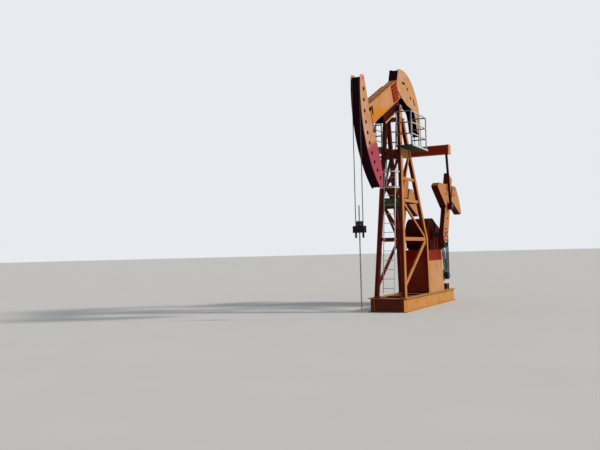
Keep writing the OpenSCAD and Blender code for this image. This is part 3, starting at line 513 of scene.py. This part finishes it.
def paint(name, coat, faded, stain, fading, runs, rust, base_rough=0.36, tread=False, sunlit=None, zones=(), patches=(),
          inner=None):
    """Weathered machine paint. Where a sunlit colour is given, faces turned to the light take it as painted light and
    the other faces keep the coat as painted shade; zones along a direction and patches round a point may have a colour
    of their own; faces that look towards the middle of the machine may take a dark colour as painted shade; a floor has
    a raised lozenge tread."""
    material, m, shader, where = new_material(name)
    place, facing = where["Object"], where["Normal"]
    shader.inputs["Specular IOR Level"].default_value = 0.02
    fresh, pale = rgb(*coat), rgb(*faded)
    # Painted light: faces turned to the light take the lit colour, with ochre patches, and the others keep the coat as
    # painted shade, with less of the faded colour
    if sunlit:
        share = m.put("Group", node_tree=SUNLIT_SIDE, Facing=facing, Place=place).outputs["Share"]
        reddish = sunlit[0] > 1.2 * sunlit[2]
        ochre = [c * t for c, t in zip(sunlit, OCHRE)] if reddish else sunlit
        sunlit_colour = m.blend(m.ramp(m.noise(place, 2.4, 5.0, 0.6), 0.42, 0.62, 0.0, 0.85), rgb(*sunlit), rgb(*ochre))
        fresh = m.blend(share, fresh, sunlit_colour)
        pale = m.blend(share, rgb(*[0.8 * c + 0.2 * f for c, f in zip(coat, faded)]), pale)
    for along, begin, end, hue in zones:
        share = zone(m, place, along, begin, end)
        fresh = m.blend(share, fresh, rgb(*hue))
        pale = m.blend(share, pale, rgb(*[h + 12 for h in hue]))
    for centre, reach, hue in patches:
        fresh = m.blend(patch(m, place, centre, reach), fresh, rgb(*hue))
    # Painted shade: faces that look towards the middle of the machine take the dark colour given for them
    if inner:
        looks, lies = [m.put("SeparateXYZ", Vector=v).outputs[1] for v in (facing, place)]
        share = m.ramp(m.math("MULTIPLY", looks, lies), -0.04, -0.1)
        fresh = m.blend(share, fresh, rgb(*inner))
        pale = m.blend(share, pale, rgb(*[0.9 * h + 14 for h in inner]))
    group = m.put("Group", node_tree=WEATHER, Place=place, Coat=fresh, Faded=pale, Stain=rgb(*stain), Fading=fading,
                  Runs=runs, Rust=rust)
    m.feed(shader.inputs["Base Color"], group.outputs["Colour"])
    height = group.outputs["Height"]
    if tread:
        height = lozenges(m, place, height)
    finish_off(m, shader, group, base_rough, height, 0.35, 0.004 if tread else 0.003)
    return material


def metal(name, dark, light, metallic, base_rough, scale, strength):
    """Bare, greased or cast metal between two shades."""
    material, m, shader, where = new_material(name)
    group = m.put("Group", node_tree=GRAIN, Place=where["Object"], Scale=scale)
    m.feed(shader.inputs["Base Color"], m.blend(group.outputs["Shade"], rgb(*dark), rgb(*light)))
    shader.inputs["Metallic"].default_value = metallic
    finish_off(m, shader, group, base_rough, group.outputs["Height"], strength, 0.001)
    return material


# Paints: fresh, faded and stain colours, then the shares of fading, runs and rust, and the roughness. A sunlit colour
# is painted light on the faces turned to the light, and the fresh colour is then painted shade on the others

# A dark patch on the beam's side is painted shade standing for the inside of a hole
beam_hole_shade, low_lug, high_lug = [tuple(p) for p in on_beam([[-2.28, -0.14, 0.5], [-2.49, -0.16, 0.04],
                                                           [-2.48, -0.16, 0.73]])]
# The beam's lighter colour on faces turned to the light is painted sunlight
beam_coat = paint("beam paint with painted sunlight", (132, 54, 28), (210, 162, 122), (104, 44, 26), 0.6, 0.24, 0.46,
                  sunlit=(200, 140, 92), zones=[((0.12, 0, -1), -6.8, -6.64, (204, 132, 34))],
                  patches=[(beam_hole_shade, 0.06, (60, 32, 20))])
# Near-black on the heads' faces that look inwards is painted shade inside the boxes
head_coat = paint("head side paint", (128, 50, 30), (212, 168, 136), (116, 54, 40), 0.6, 0.24, 0.44,
                  sunlit=(196, 146, 116), zones=[((0.48, 0, -1), -6.84, -6.62, (166, 72, 88))], inner=(26, 12, 12),
                  patches=[(low_lug, 0.11, (60, 20, 16)), (high_lug, 0.12, (104, 44, 22))])
rear_coat = paint("rear head side paint", (128, 50, 30), (214, 174, 142), (118, 56, 38), 0.6, 0.24, 0.44,
                  sunlit=(202, 154, 124), inner=(26, 12, 12))
# A darker red on the tower's faces that look inwards is painted shade
tower_coat = paint("tower paint", (84, 26, 18), (208, 150, 106), (92, 38, 26), 0.45, 0.4, 0.42, sunlit=(196, 128, 78),
                   inner=(88, 26, 18))
# The front bracing's darker red, also on its lit faces, is painted shade
brace_coat = paint("front bracing paint darkened as painted shade", (104, 32, 22), (150, 70, 46), (56, 20, 16), 0.4, 0.4, 0.42,
                   sunlit=(150, 66, 34))
weight_coat = paint("counterweight paint", (70, 18, 12), (200, 156, 124), (84, 36, 24), 0.6, 0.3, 0.55, 0.5,
                    sunlit=(188, 130, 86))
# The splice plates and the beam's bolts take a darker red than the beam
red_coat = paint("dark red paint", (120, 30, 10), (186, 84, 40), (62, 18, 10), 0.4, 0.36, 0.4, sunlit=(164, 52, 14))
cross_coat = paint("cross beam paint", (132, 36, 18), (176, 78, 50), (70, 20, 14), 0.4, 0.3, 0.35,
                   sunlit=(206, 150, 118))
# The dark red band over the pedestal's upper part is painted shadow of the gearbox and cranks above it
pedestal_coat = paint("pedestal paint", (122, 40, 24), (206, 162, 126), (84, 36, 24), 0.55, 0.26, 0.4,
                      sunlit=(196, 146, 106), zones=[((0, 0, 1), 1.54, 1.6, (130, 26, 1))])
# The pitmans' dark maroon is painted shade
maroon_coat = paint("maroon paint", (62, 16, 14), (98, 34, 26), (30, 10, 10), 0.4, 0.35, 0.35, sunlit=(84, 22, 16))
top_coat = paint("saddle paint", (62, 16, 14), (204, 156, 128), (70, 28, 20), 0.45, 0.4, 0.35, sunlit=(200, 140, 108))
# Pale paint, also used for the painted highlight strips on the bracket's flange
edge_coat = paint("pale edge paint", (186, 116, 88), (222, 172, 146), (120, 60, 44), 0.5, 0.3, 0.3,
                  sunlit=(214, 146, 116))
# The near-black of the head tracks is painted shade on their front-facing arcs
shaded_track_coat = paint("worn track paint darkened as painted shade", (34, 10, 22), (60, 20, 34), (14, 6, 12), 0.45, 0.4, 0.5, 0.55,
                   sunlit=(50, 14, 26))
# The gearbox's dark red is painted shadow of the cranks and counterweights; its oily stains are its own
shadowed_gear_coat = paint("oily gearbox paint darkened as painted shadow", (62, 16, 10), (86, 28, 16), (20, 8, 7), 0.4, 0.5, 0.25, 0.5,
                  sunlit=(84, 22, 12))
skid_coat = paint("skid paint", (92, 42, 30), (208, 160, 104), (70, 32, 22), 0.55, 0.3, 0.55, 0.45,
                  sunlit=(200, 144, 86))
floor_coat = paint("dark green floor paint", (44, 54, 42), (70, 78, 62), (26, 26, 20), 0.5, 0.35, 0.35, 0.5, True)
# The rails' white on faces turned to the light is painted sunlight; the chalky fading is their own
rail_coat = paint("chalky rail paint with painted sunlight", (84, 84, 92), (210, 208, 204), (96, 74, 62), 0.45, 0.35, 0.35, 0.45,
                  sunlit=(206, 206, 206))
ladder_coat = paint("pale ladder paint", (146, 146, 156), (226, 226, 226), (124, 108, 96), 0.45, 0.2, 0.2, 0.45,
                    sunlit=(214, 216, 222), zones=[((0, 0, 1), 4.62, 4.66, (64, 20, 16))])
bracket_coat = paint("shaded bracket paint", (54, 8, 4), (70, 16, 10), (24, 6, 4), 0.4, 0.3, 0.3, sunlit=(58, 12, 6))
panel_coat = paint("olive panel paint", (62, 66, 44), (92, 92, 64), (34, 28, 20), 0.5, 0.45, 0.4)
motor_coat = paint("motor paint", (62, 84, 78), (92, 108, 98), (30, 34, 30), 0.45, 0.3, 0.25, 0.34)
carrier_coat = paint("carrier paint", (30, 30, 34), (50, 48, 50), (60, 34, 24), 0.4, 0.35, 0.4, 0.45)

# Metals: dark and light shade, share of metal, roughness, scale of the grain and strength of its bumps

bright_steel = metal("greased steel", (96, 92, 86), (158, 154, 146), 1.0, 0.26, 60.0, 0.12)
dark_iron = metal("cast wheel iron", (22, 20, 21), (44, 40, 40), 0.3, 0.62, 45.0, 0.35)
bolt_steel = metal("bolt steel", (74, 52, 40), (128, 112, 98), 0.85, 0.42, 90.0, 0.25)
rope_steel = metal("rope wire", (38, 36, 35), (86, 82, 78), 0.85, 0.42, 120.0, 0.2)
belt_rubber = metal("belt rubber", (12, 12, 13), (26, 25, 26), 0.0, 0.85, 80.0, 0.2)

for finish, names in (
        (skid_coat, "skid_rails skid_cross_members motor_mount"), (pedestal_coat, "gearbox_pedestal"),
        (tower_coat, "tower_left_frame tower_right_frame tower_rear_bracing"), (brace_coat, "tower_front_bracing"),
        (top_coat, "tower_top_plate saddle_bearings"), (floor_coat, "work_platform rest_platform"),
        (rail_coat, "platform_rails ladder ladder_cage"), (shadowed_gear_coat, "gearbox_housing gearbox_cover"),
        (dark_iron, "large_sheave brake_drum motor_pulley crank_shaft"), (motor_coat, "motor"),
        (belt_rubber, "drive_belts"), (beam_coat, "walking_beam"), (red_coat, "beam_splice_plates"),
        (bracket_coat, "saddle_bracket"), (head_coat, "front_head_plates"), (rear_coat, "rear_head_plates"),
        (shaded_track_coat, "front_head_track rear_head_track"), (maroon_coat, "pitman_left pitman_right"),
        (weight_coat, "crank_left crank_right counterweights_left counterweights_right"),
        (bright_steel, "input_shaft saddle_pin crank_pins polished_rod"), (cross_coat, "cross_beam"),
        (carrier_coat, "carrier_bar rod_clamp")):
    for name in names.split():
        slots = nodes[name].data.materials
        slots.clear()
        slots.append(finish)

# The two sides of the tower: legs and bars set square to the machine


def leg_place(z, side, low, high):
    """The point at height z of a leg that runs straight from low to high, given as (x from the well, y, z)."""
    f = (z - low[2]) / (high[2] - low[2])
    return np.array([WELL_X + low[0] + f * (high[0] - low[0]), side * (low[1] + f * (high[1] - low[1])), z])


def front_leg(z, side):
    """The middle of a front leg at height z."""
    return leg_place(z, side, (2.5, 0.47, FOOT_H), (3.15, 0.235, TOP_H))


def rear_leg(z, side):
    """The middle of a rear leg at height z, which has a knee."""
    foot, knee, top = (4.98, 0.5, FOOT_H), (4.86, 0.5, KNEE_H), (3.42, 0.235, TOP_H)
    return leg_place(z, side, knee, top) if z > KNEE_H else leg_place(z, side, foot, knee)


BAR_W = 0.06
FRONT_LEG_W, FRONT_LEG_D, REAR_LEG_W, REAR_LEG_D = 0.115, 0.19, 0.12, 0.15
leg_foot, leg_top = FOOT_H - 0.015, TOP_H - 0.001
for side, node in ((1, "tower_left_frame"), (-1, "tower_right_frame")):
    front_foot, rear_foot, knee = front_leg(FOOT_H, side), rear_leg(FOOT_H, side), rear_leg(KNEE_H, side)
    bars = [bar(front_foot, front_leg(TOP_H, side), FRONT_LEG_W, FRONT_LEG_D, (leg_foot, leg_top)),
            bar(rear_foot, knee, REAR_LEG_W, REAR_LEG_D, (leg_foot, KNEE_H + 0.03)),
            bar(rear_leg(KNEE_H + 0.001, side), rear_leg(TOP_H, side), REAR_LEG_W, REAR_LEG_D,
                (KNEE_H - 0.02, leg_top))]
    for z, deep in zip(STRUTS, (0.12, 0.1, 0.1, 0.3)):
        bars.append(bar(front_leg(z, side), rear_leg(z, side), BAR_W, deep))
    for a, b, deep in ((front_leg(FOOT_H + 0.3, side), knee, 0.135), (knee, front_leg(STRUTS[1], side), 0.085),
                       (front_leg(STRUTS[1], side), rear_leg(STRUTS[3], side), 0.08)):
        bars.append(bar(a, b, BAR_W - 0.004, deep))
    for foot in (front_foot, rear_foot):
        bars.append(block(foot - [0.15, 0.08, 0.025], foot + [0.15, 0.08, 0.0], 0.003))
    shown = make_mesh(node + "_bars", bars, "base", tower_coat)
    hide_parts(node)

# Counterweights whose tops lie level at rest

WEIGHT_TOP = 4.31
WEIGHT_FORMS = ((-1, 0.93, 0.24, 1.53, 1.96), (1, 1.45, 0.0, 1.68, 2.3))


def crank_half(z):
    """Half the width of a crank at a distance z from its shaft, which narrows towards the tip."""
    return 0.3103 - 0.01724 * z


def weight(way, inner, rise, reach, r, mid):
    """One weight on the front (-1) or rear (1) edge of its crank, x from the crank's middle line and z from the shaft:
    its top is the lower of sqrt(r^2 - x^2) and (WEIGHT_TOP - shaft + x sin(lean)) / cos(lean)."""
    x = way * np.linspace(reach, crank_half(r - 0.12), 30)
    level = (WEIGHT_TOP - SHAFT[2] + x * math.sin(CRANK_LEAN)) / math.cos(CRANK_LEAN)
    top = np.stack([x, np.minimum(np.sqrt(r * r - x * x), level)], 1)
    foot = [[way * crank_half(inner), inner], [way * (reach - 0.09), inner + rise],
            [way * (reach - 0.02), inner + rise + 0.06]]
    if top[0, 1] > inner + rise + 0.15:
        foot.append([way * reach, inner + rise + 0.15])
    rim = np.concatenate([foot, top])
    points = np.concatenate([row(rim[:, 0], mid + half, rim[:, 1]) for half in (-WEIGHT_T / 2, WEIGHT_T / 2)])
    faces = ring_faces(2, len(rim))
    if way > 0:
        faces = [f[::-1] for f in faces]
    return on_crank(points), faces


for side, node in ((1, "counterweights_left"), (-1, "counterweights_right")):
    pair = [weight(*form, side * CRANK_MID) for form in WEIGHT_FORMS]
    shown = make_mesh(node + "_level", pair, "cranks", weight_coat)
    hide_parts(node)

# The ladder and its cage, thin as such work is

LADDER_HALF = 0.19
LADDER_FOOT, LADDER_TOP = 0.6, PLATFORM_H + 0.78
STILE_T, STILE_D = 0.012, 0.05
RUNG_PITCH, RUNG_R = 0.3, 0.0095
CAGE_R, HOOP_T = 0.327, 0.006
CAGE_LOW, CAGE_HIGH = STRUTS[1] + 0.4, PLATFORM_H - 0.3


def stile(z, y=0.0):
    """The line of the ladder at height z, y to the side of its middle."""
    return np.array([front_leg(z, 1)[0] - 0.175, y, z])


rungs = [bar(stile(LADDER_FOOT, y), stile(LADDER_TOP, y), STILE_T, STILE_D) for y in (-LADDER_HALF, LADDER_HALF)]
for z in (STRUTS[0], STRUTS[1], STRUTS[3]):
    rungs += blocks([stile(z)[0], LADDER_HALF - STILE_T / 2, z - 0.025],
                    [front_leg(z, 1)[0] - 0.03, LADDER_HALF + STILE_T / 2, z + 0.025], 0.002)
for k in range(int((PLATFORM_H - LADDER_FOOT) / RUNG_PITCH)):
    z = LADDER_FOOT + (k + 0.5) * RUNG_PITCH
    rungs.append(tube([stile(z, -LADDER_HALF), stile(z), stile(z, LADDER_HALF)], RUNG_R, 10))
shown = make_mesh("ladder_rungs_and_stiles", rungs, "base", ladder_coat)
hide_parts("ladder")

a = np.linspace(-math.pi / 2, -3 * math.pi / 2, 33)
ring = CAGE_R * row(np.cos(a), np.sin(a), 0.0)
hoop = np.concatenate([[[0, -0.2, 0], [0, -0.3, 0]], ring, [[0, 0.3, 0], [0, 0.2, 0]]])
hoops = [strap(hoop + stile(z), 0.034, HOOP_T) for z in np.linspace(CAGE_LOW, CAGE_HIGH, 3)]
for degrees, wide, deep in ((-60, 0.014, 0.026), (0, 0.03, 0.006), (60, 0.014, 0.026)):
    a = math.radians(degrees)
    out = (HOOP_T - CAGE_R) * row(math.cos(a), math.sin(a), 0.0)
    hoops.append(bar(stile(CAGE_LOW) + out, stile(CAGE_HIGH) + out, wide, deep))
shown = make_mesh("cage_hoops", hoops, "base", ladder_coat)
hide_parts("ladder_cage")

post_x, post_y, _ = front_leg(STRUTS[1], 1)
panel = block([post_x - 0.058, 0.055 - post_y, STRUTS[1] - 0.22], [post_x - 0.052, post_y - 0.055, STRUTS[1] + 0.05],
              0.001)
make_mesh("rest_front_panel", [panel], "base", panel_coat)

# Wire ropes


def straight(a, b, step=0.016):
    """Points from a to b, one each step."""
    a, b = np.asarray(a, float), np.asarray(b, float)
    n = max(3, int(np.linalg.norm(b - a) / step))
    return a + np.linspace(0, 1, n)[:, None] * (b - a)


def rope_pair(path):
    """Two wire ropes, one to each side of a path in the middle plane."""
    return [wire_rope(path + [0.0, side * ROPE_Y, 0.0]) for side in SIDES]


rope_line = straight([WELL_X, 0, CARRIER_H - 0.01], [WELL_X, 0, PIVOT[2]])
hanging_front = make_mesh("front_ropes_hanging", rope_pair(rope_line), None, rope_steel, True)
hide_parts("front_ropes")
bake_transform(hanging_front)

# The part on the front head's arc, from the level of the pin up to the top of the track. Only the first stretch of it
# changes its shape, so most points lie there

HEAD_UP = math.radians(31.5)
LOOSE = 0.02
a = np.concatenate([np.linspace(0.0, LOOSE, 60), np.linspace(LOOSE, HEAD_UP - SWING + 0.004, 14)[1:]])
wound_front = make_mesh("front_ropes_wound", rope_pair(arc(PIVOT, HEAD_R, math.pi - a)), None, rope_steel, True)
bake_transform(wound_front)

# The rear ropes run from the cross beam straight to the point where they touch the rear head's arc

rear_centre = on_beam(REAR_CENTRE)[0]
crank_pin = on_crank([0, 0, CRANK_R])[0]
to_pin = crank_pin - rear_centre
touch_angle = math.atan2(to_pin[2], to_pin[0]) + math.acos(REAR_R / math.hypot(to_pin[0], to_pin[2]))
touch = arc(rear_centre, REAR_R, touch_angle)
rope_foot = CROSS_H + 0.16
cross_top = [crank_pin[0] - (rope_foot - crank_pin[2]) * math.tan(touch_angle), 0, rope_foot]
hanging_rear = make_mesh("rear_ropes_hanging", rope_pair(straight(cross_top, touch)), None, rope_steel, True)
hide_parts("rear_ropes")
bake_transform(hanging_rear)

a = np.linspace(touch_angle, math.radians(78) + SWING - 0.03, 150)
make_mesh("rear_ropes_wound", rope_pair(arc(rear_centre, REAR_R, a)), "beam", rope_steel, True)

# Bolts, in one piece for each body

bolt_sets = {"base": [], "beam": [], "cranks": [], "rod": []}


def add_bolts(body, places, axis, wide, high, washer=True):
    """Collects bolts of one size for a body."""
    bolt_sets[body].append(bolts(places, axis, wide, high, washer))


for side in SIDES:
    x = np.linspace(BRACKET_REAR - SPLICE_L + 0.05, BRACKET_REAR - 0.05, 6)
    for z in np.linspace(BEAM_LIFT + 0.08, BEAM_TOP - 0.08, 5):
        add_bolts("beam", on_beam(row(x, side * REAR_FACE, z)), [0, side, 0], 0.04, 0.022)
    bracket_row = row(np.linspace(-1.4, 0.24, 12), side * 0.115, BEAM_LIFT + 0.025)
    add_bolts("beam", on_beam(bracket_row), tilt([0, 0, 1], SWING), 0.03, 0.018, False)

SADDLE_Y = 0.202
for side in SIDES:
    for dx, dy in product((-0.165, 0.165), (-0.03, 0.03)):
        add_bolts("base", PIVOT + [dx, side * SADDLE_Y + dy, -0.27], [0, 0, 1], 0.042, 0.03)
    for dx, y in product((-0.236, 0.236), (0.225, 0.285)):
        add_bolts("base", PIVOT + [dx - 0.015, side * y, -0.33], [0, 0, 1], 0.034, 0.02)

flange_front, flange_rear, flange_top = SHAFT[0] - GEAR_R - 0.02, INPUT[0] + 0.35, SHAFT[2] + 0.03
for side in SIDES:
    spots = row(np.linspace(flange_front, flange_rear, 17), side * (GEAR_FACE + 0.008), flange_top)
    add_bolts("base", spots, [0, 0, 1], 0.022, 0.018, False)
for x in (flange_front - 0.012, flange_rear + 0.012):
    add_bolts("base", row(x, np.linspace(-0.34, 0.34, 6), flange_top), [0, 0, 1], 0.03, 0.02, False)

for side in SIDES:
    for x, z in ((-0.5, 1.36), (-0.5, 1.62), (0.5, 1.76), (0.5, 2.02)):
        add_bolts("cranks", on_crank([x, side * WEIGHT_FACE, z]), [0, side, 0], 0.055, 0.035)
    out = side * CRANK_FACE
    add_bolts("cranks", on_crank(arc([0, out, 0], 0.22, circle(8))), [0, side, 0], 0.05, 0.03)
    for z in (0.62, 1.5, 1.75, 2.0):
        add_bolts("cranks", on_crank([0.0, out, z]), [0, side, 0], 0.06, 0.035)

spots = [[WELL_X - 0.06, y, CARRIER_H + z] for y, z in product((-0.052, 0.052), (0.035, 0.105))]
add_bolts("rod", spots, [-1, 0, 0], 0.032, 0.02)

for body, name, finish in (("base", "frame_bolts", maroon_coat), ("beam", "beam_bolts", red_coat),
                           ("cranks", "crank_bolts", weight_coat), ("rod", "clamp_bolts", bolt_steel)):
    make_mesh(name, bolt_sets[body], body, finish)

# Weld beads along the beam and the bracket under it

beads = []
for side in SIDES:
    for x0, x1, y, z in ((-2.5, -0.24, BEAM_W / 2 - 0.012, BEAM_LIFT + 0.029),
                         (-2.5, -0.24, BEAM_W / 2 - 0.012, BEAM_TOP - 0.029),
                         (-BRACKET_FRONT, BRACKET_REAR, 0.132, BEAM_LIFT - 0.004)):
        beads.append(weld(*on_beam([[x0, side * y, z], [x1, side * y, z]])))
make_mesh("beam_welds", beads, "beam", beam_coat, True)

# Pads along the top of the beam, and the bars where the beam and the front head meet

pads = []
for x in np.linspace(-2.2, -0.4, 12):
    pads += blocks([x - 0.03, 0.08, BEAM_TOP - 0.002], [x + 0.03, 0.14, BEAM_TOP + 0.035], way=on_beam)
make_mesh("beam_top_pads", pads, "beam", beam_coat)

bars = blocks([-2.52, HEAD_FACE - 0.002, BEAM_LIFT - 0.1], [-2.49, HEAD_FACE + 0.02, BEAM_TOP - 0.18], way=on_beam)
make_mesh("head_joint_bars", bars, "beam", head_coat)

fittings = []
for low, high in (([-2.6, HEAD_FACE + 0.01, 0.69], [-2.33, HEAD_FACE + 0.034, 0.775]),
                  ([-2.42, HEAD_FACE + 0.01, 0.54], [-2.36, HEAD_FACE + 0.034, 0.7]),
                  ([-2.7, HEAD_FACE - 0.045, -0.03], [-2.3, HEAD_FACE - 0.002, 0.115])):
    fittings += blocks(low, high, way=on_beam)
make_mesh("head_joint_fittings", fittings, "beam", bracket_coat)

# The top of the front head: an ear on each side plate, with a dark disc on it as painted shade standing for a hole,
# and the end of the track between them

ears, hole_shade_discs = [], []
tip = arc([0, 0, 0], TRACK_R + 0.04, math.pi - np.radians(np.linspace(31.4, 34.0, 6)))
ear = np.concatenate([tip, [[-2.482, 0, 1.79], [-2.49, 0, 1.655]]])
for side in SIDES:
    points = np.concatenate([ear + [0, side * y, 0] for y in (BEAM_W / 2 + GAP, HEAD_FACE - GAP)])
    ears.append(placed((points, outward(points, ring_faces(2, len(ear)))), on_beam))
    hole = lathe([(0.036, -0.001), (0.034, 0.003)], [-2.6, side * HEAD_FACE, 1.71], side, 20)
    hole_shade_discs.append(placed(hole, on_beam))
make_mesh("head_top_ears", ears, "beam", edge_coat)
make_mesh("head_top_hole_shades", hole_shade_discs, "beam", bracket_coat)

LIP_T, LIP_HALF = 0.016, 0.138
lip_top = TRACK_R - GAP
section = [(lip_top - LIP_T, -LIP_HALF), (lip_top, -LIP_HALF), (lip_top, LIP_HALF), (lip_top - LIP_T, LIP_HALF)]
points = np.array([arc([0, y, 0], r, math.pi - a) for a in np.radians(np.linspace(31.3, 33.0, 5)) for r, y in section])
lip = placed((points, outward(points, ring_faces(5, 4))), on_beam)
make_mesh("head_track_lip", [lip], "beam", shaded_track_coat)

# Rolled rims round the holes of the front head and the slots of the rear head, in near-black paint as painted shade
# that widens the dark of the holes and slots

HOLE_CIRCLE, HOLE_PITCH = 3.07, math.radians(6.1)
SLOTS = ((62, 0.42, 0.26), (45, 0.46, 0.13), (28, 0.54, 0.13), (14, 0.34, 0.26), (-12, 0.26, 0.26))
rims = []
ring = np.linspace(0, 2 * math.pi, 29)
for side in SIDES:
    for i in range(10):
        middle = arc([0, side * HEAD_FACE, 0], HOLE_CIRCLE, math.pi - (i - 4.5) * HOLE_PITCH)
        rims.append(placed(tube(arc(middle, 0.048, ring), 0.011, 8), on_beam))
    for degrees, inset, length in SLOTS:
        a = math.radians(degrees)
        out, along = row(math.cos(a), 0, math.sin(a)), row(-math.sin(a), 0, math.cos(a))
        middle = REAR_CENTRE + (REAR_R - inset) * out + [0, side * REAR_FACE, 0]
        shift = np.sign(np.round(np.sin(ring), 6)) * (length - 0.045) / 2
        path = middle + 0.03 * np.cos(ring)[:, None] * out + (0.03 * np.sin(ring) + shift)[:, None] * along
        rims.append(placed(tube(path, 0.008, 8), on_beam))
make_mesh("head_hole_rims", rims, "beam", shaded_track_coat, True)

# Pale strips along the outer edges of the bracket's bottom flange: a painted highlight of the flange's lit edges
edges = blocks([-BRACKET_FRONT, 0.166, -0.078], [-0.262, 0.177, -0.018], 0.002, on_beam)
make_mesh("bracket_flange_highlight_strips", edges, "beam", edge_coat)

# A block under the foot of each front counterweight, on the front edge of its crank

stops = blocks([-0.38, CRANK_MID - 0.06, 0.8], [-0.29, CRANK_MID + 0.06, 0.925], 0.008, on_crank)
make_mesh("crank_stop_blocks", stops, "cranks", carrier_coat)

# Pale edge angles round the working platform

low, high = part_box("work_platform")
edges = blocks([low[0], high[1] - 0.004, low[2] - 0.004], [high[0], high[1] + 0.006, high[2] + 0.012], 0.002)
make_mesh("platform_edge_angles", edges, "base", rail_coat)

# Gearbox: bearing caps and ribs

caps = []
for side in SIDES:
    for centre, r, inner_r in ((SHAFT, 0.21, 0.17), (INPUT, 0.12, 0.09)):
        depth = 0.028 if centre is INPUT and side < 0 else 0.045
        profile = [(r, -0.002), (r, depth * 0.55), (r - 0.012, depth * 0.7), (inner_r, depth * 0.75),
                   (inner_r - 0.008, depth)]
        caps.append(lathe(profile, centre + [0, side * GEAR_FACE, 0], side, 48))
make_mesh("gearbox_bearing_caps", caps, "base", shadowed_gear_coat, True)

ribs = []
for x, z0, z1 in ((-0.36, 0.032, 0.42), (0.36, 0.032, 0.42), (0.72, 0.032, 0.2), (1.0, 0.032, 0.2),
                  (-0.4, -0.5, -0.032), (0.42, -0.5, -0.032), (0.8, -0.5, -0.032), (1.12, -0.5, -0.032)):
    ribs += blocks(SHAFT + [x - 0.01, GEAR_FACE, z0], SHAFT + [x + 0.01, GEAR_FACE + 0.03, z1], 0.003)
make_mesh("gearbox_ribs", ribs, "base", shadowed_gear_coat)

# Motor: cooling fins, fan cowl and terminal box

MOTOR_R = 0.216
MOTOR_Y = 0.03 - GEAR_FACE
fins = []
for a in np.radians(np.arange(-50, 231, 8)):
    out, along = row(math.cos(a), 0, math.sin(a)), row(-math.sin(a), 0, math.cos(a))
    section = ((0.0, -0.004), (0.0, 0.004), (0.024, 0.002), (0.024, -0.002))
    corners = np.array([MOTOR + out * (MOTOR_R + high) + along * half + [0, MOTOR_Y + y, 0]
                        for y in (0.07, 0.47) for high, half in section])
    fins.append((corners, outward(corners, ring_faces(2, 4))))
make_mesh("motor_fins", fins, "base", motor_coat)
cowl = [(0.221, 0.49), (0.232, 0.5), (0.234, 0.615), (0.222, 0.635), (0.12, 0.643), (0.11, 0.64)]
make_mesh("motor_fan_cowl", [lathe(cowl, MOTOR + [0, MOTOR_Y, 0], 1, 48)], "base", motor_coat, True)
terminal = block(MOTOR + [0.19, MOTOR_Y + 0.2, -0.02], MOTOR + [0.31, MOTOR_Y + 0.38, 0.15], 0.008)
make_mesh("motor_terminal_box", [terminal], "base", motor_coat)

# Camera, with its place from the well and from the ground

CAMERA_AT = (WELL_X - 19.53, -7.91, 1.95)
LOOK = (0.892, 0.450, 0.039)
ROLL = math.radians(1.4)
camera_data = bpy.data.cameras.new("camera")
camera_data.lens = 43.2
camera_data.sensor_width = 36.0
camera_data.clip_end = 2000
camera = bpy.data.objects.new("camera", camera_data)
bpy.context.scene.collection.objects.link(camera)
bpy.context.scene.camera = camera
look = Vector(LOOK).normalized()
right = look.cross(Vector((0, 0, 1))).normalized()
up = right.cross(look) * math.cos(ROLL) + right * math.sin(ROLL)
turn = Matrix((look.cross(up), up, -look)).transposed()
camera.matrix_world = Matrix.Translation(CAMERA_AT) @ turn.to_4x4()

# Floor, light and backdrop

FLOOR_R = 600
MIDDLE = Vector((0, 0, 3.5))
pale, m, shader, where = new_material("pale floor")
m.feed(shader.inputs["Base Color"],
       m.blend(m.noise(where["Object"], 0.4, 2.0), (0.68, 0.68, 0.67, 1), (0.74, 0.74, 0.73, 1)))
shader.inputs["Roughness"].default_value = 0.9
shader.inputs["Specular IOR Level"].default_value = 0.1
a = circle(96)
disc = (FLOOR_R * row(np.cos(a), np.sin(a), 0.0), [list(range(96))])
floor = make_mesh("floor", [disc], None, pale)


def lamp(name, energy, at, size, colour=(1.0, 1.0, 1.0)):
    """A sun lamp at a place, pointing at the middle of the machine."""
    data = bpy.data.lights.new(name, "SUN")
    data.energy = energy
    data.angle = size
    data.color = colour
    made = bpy.data.objects.new(name, data)
    bpy.context.scene.collection.objects.link(made)
    made.location = at
    made.rotation_euler = (MIDDLE - Vector(at)).to_track_quat("-Z", "Y").to_euler()


lamp("key light", 2.45, (7, -22, 17), 0.12, (1.0, 0.93, 0.83))
lamp("soft front light", 0.16, (-22, -6, 12), 1.2)

world = bpy.data.worlds.new("studio")
bpy.context.scene.world = world
world.use_nodes = True
w = Maker(world.node_tree)
plain = world.node_tree.nodes["Background"]
w.fill(plain, (0.78, 0.82, 0.88, 1), 0.4)
backdrop = w.put("Background", Color=(0.8, 0.83, 0.86, 1), Strength=1.0)
ray = w.put("LightPath").outputs
bounced = w.math("MAXIMUM", ray["Is Glossy Ray"], ray["Is Transmission Ray"])
seen = w.math("MAXIMUM", ray["Is Camera Ray"], bounced)
mix = w.fill(w.put("MixShader"), seen, plain.outputs[0], backdrop.outputs[0])
w.feed(world.node_tree.nodes["World Output"].inputs["Surface"], mix[0])

bpy.context.scene.view_settings.view_transform = "Standard"
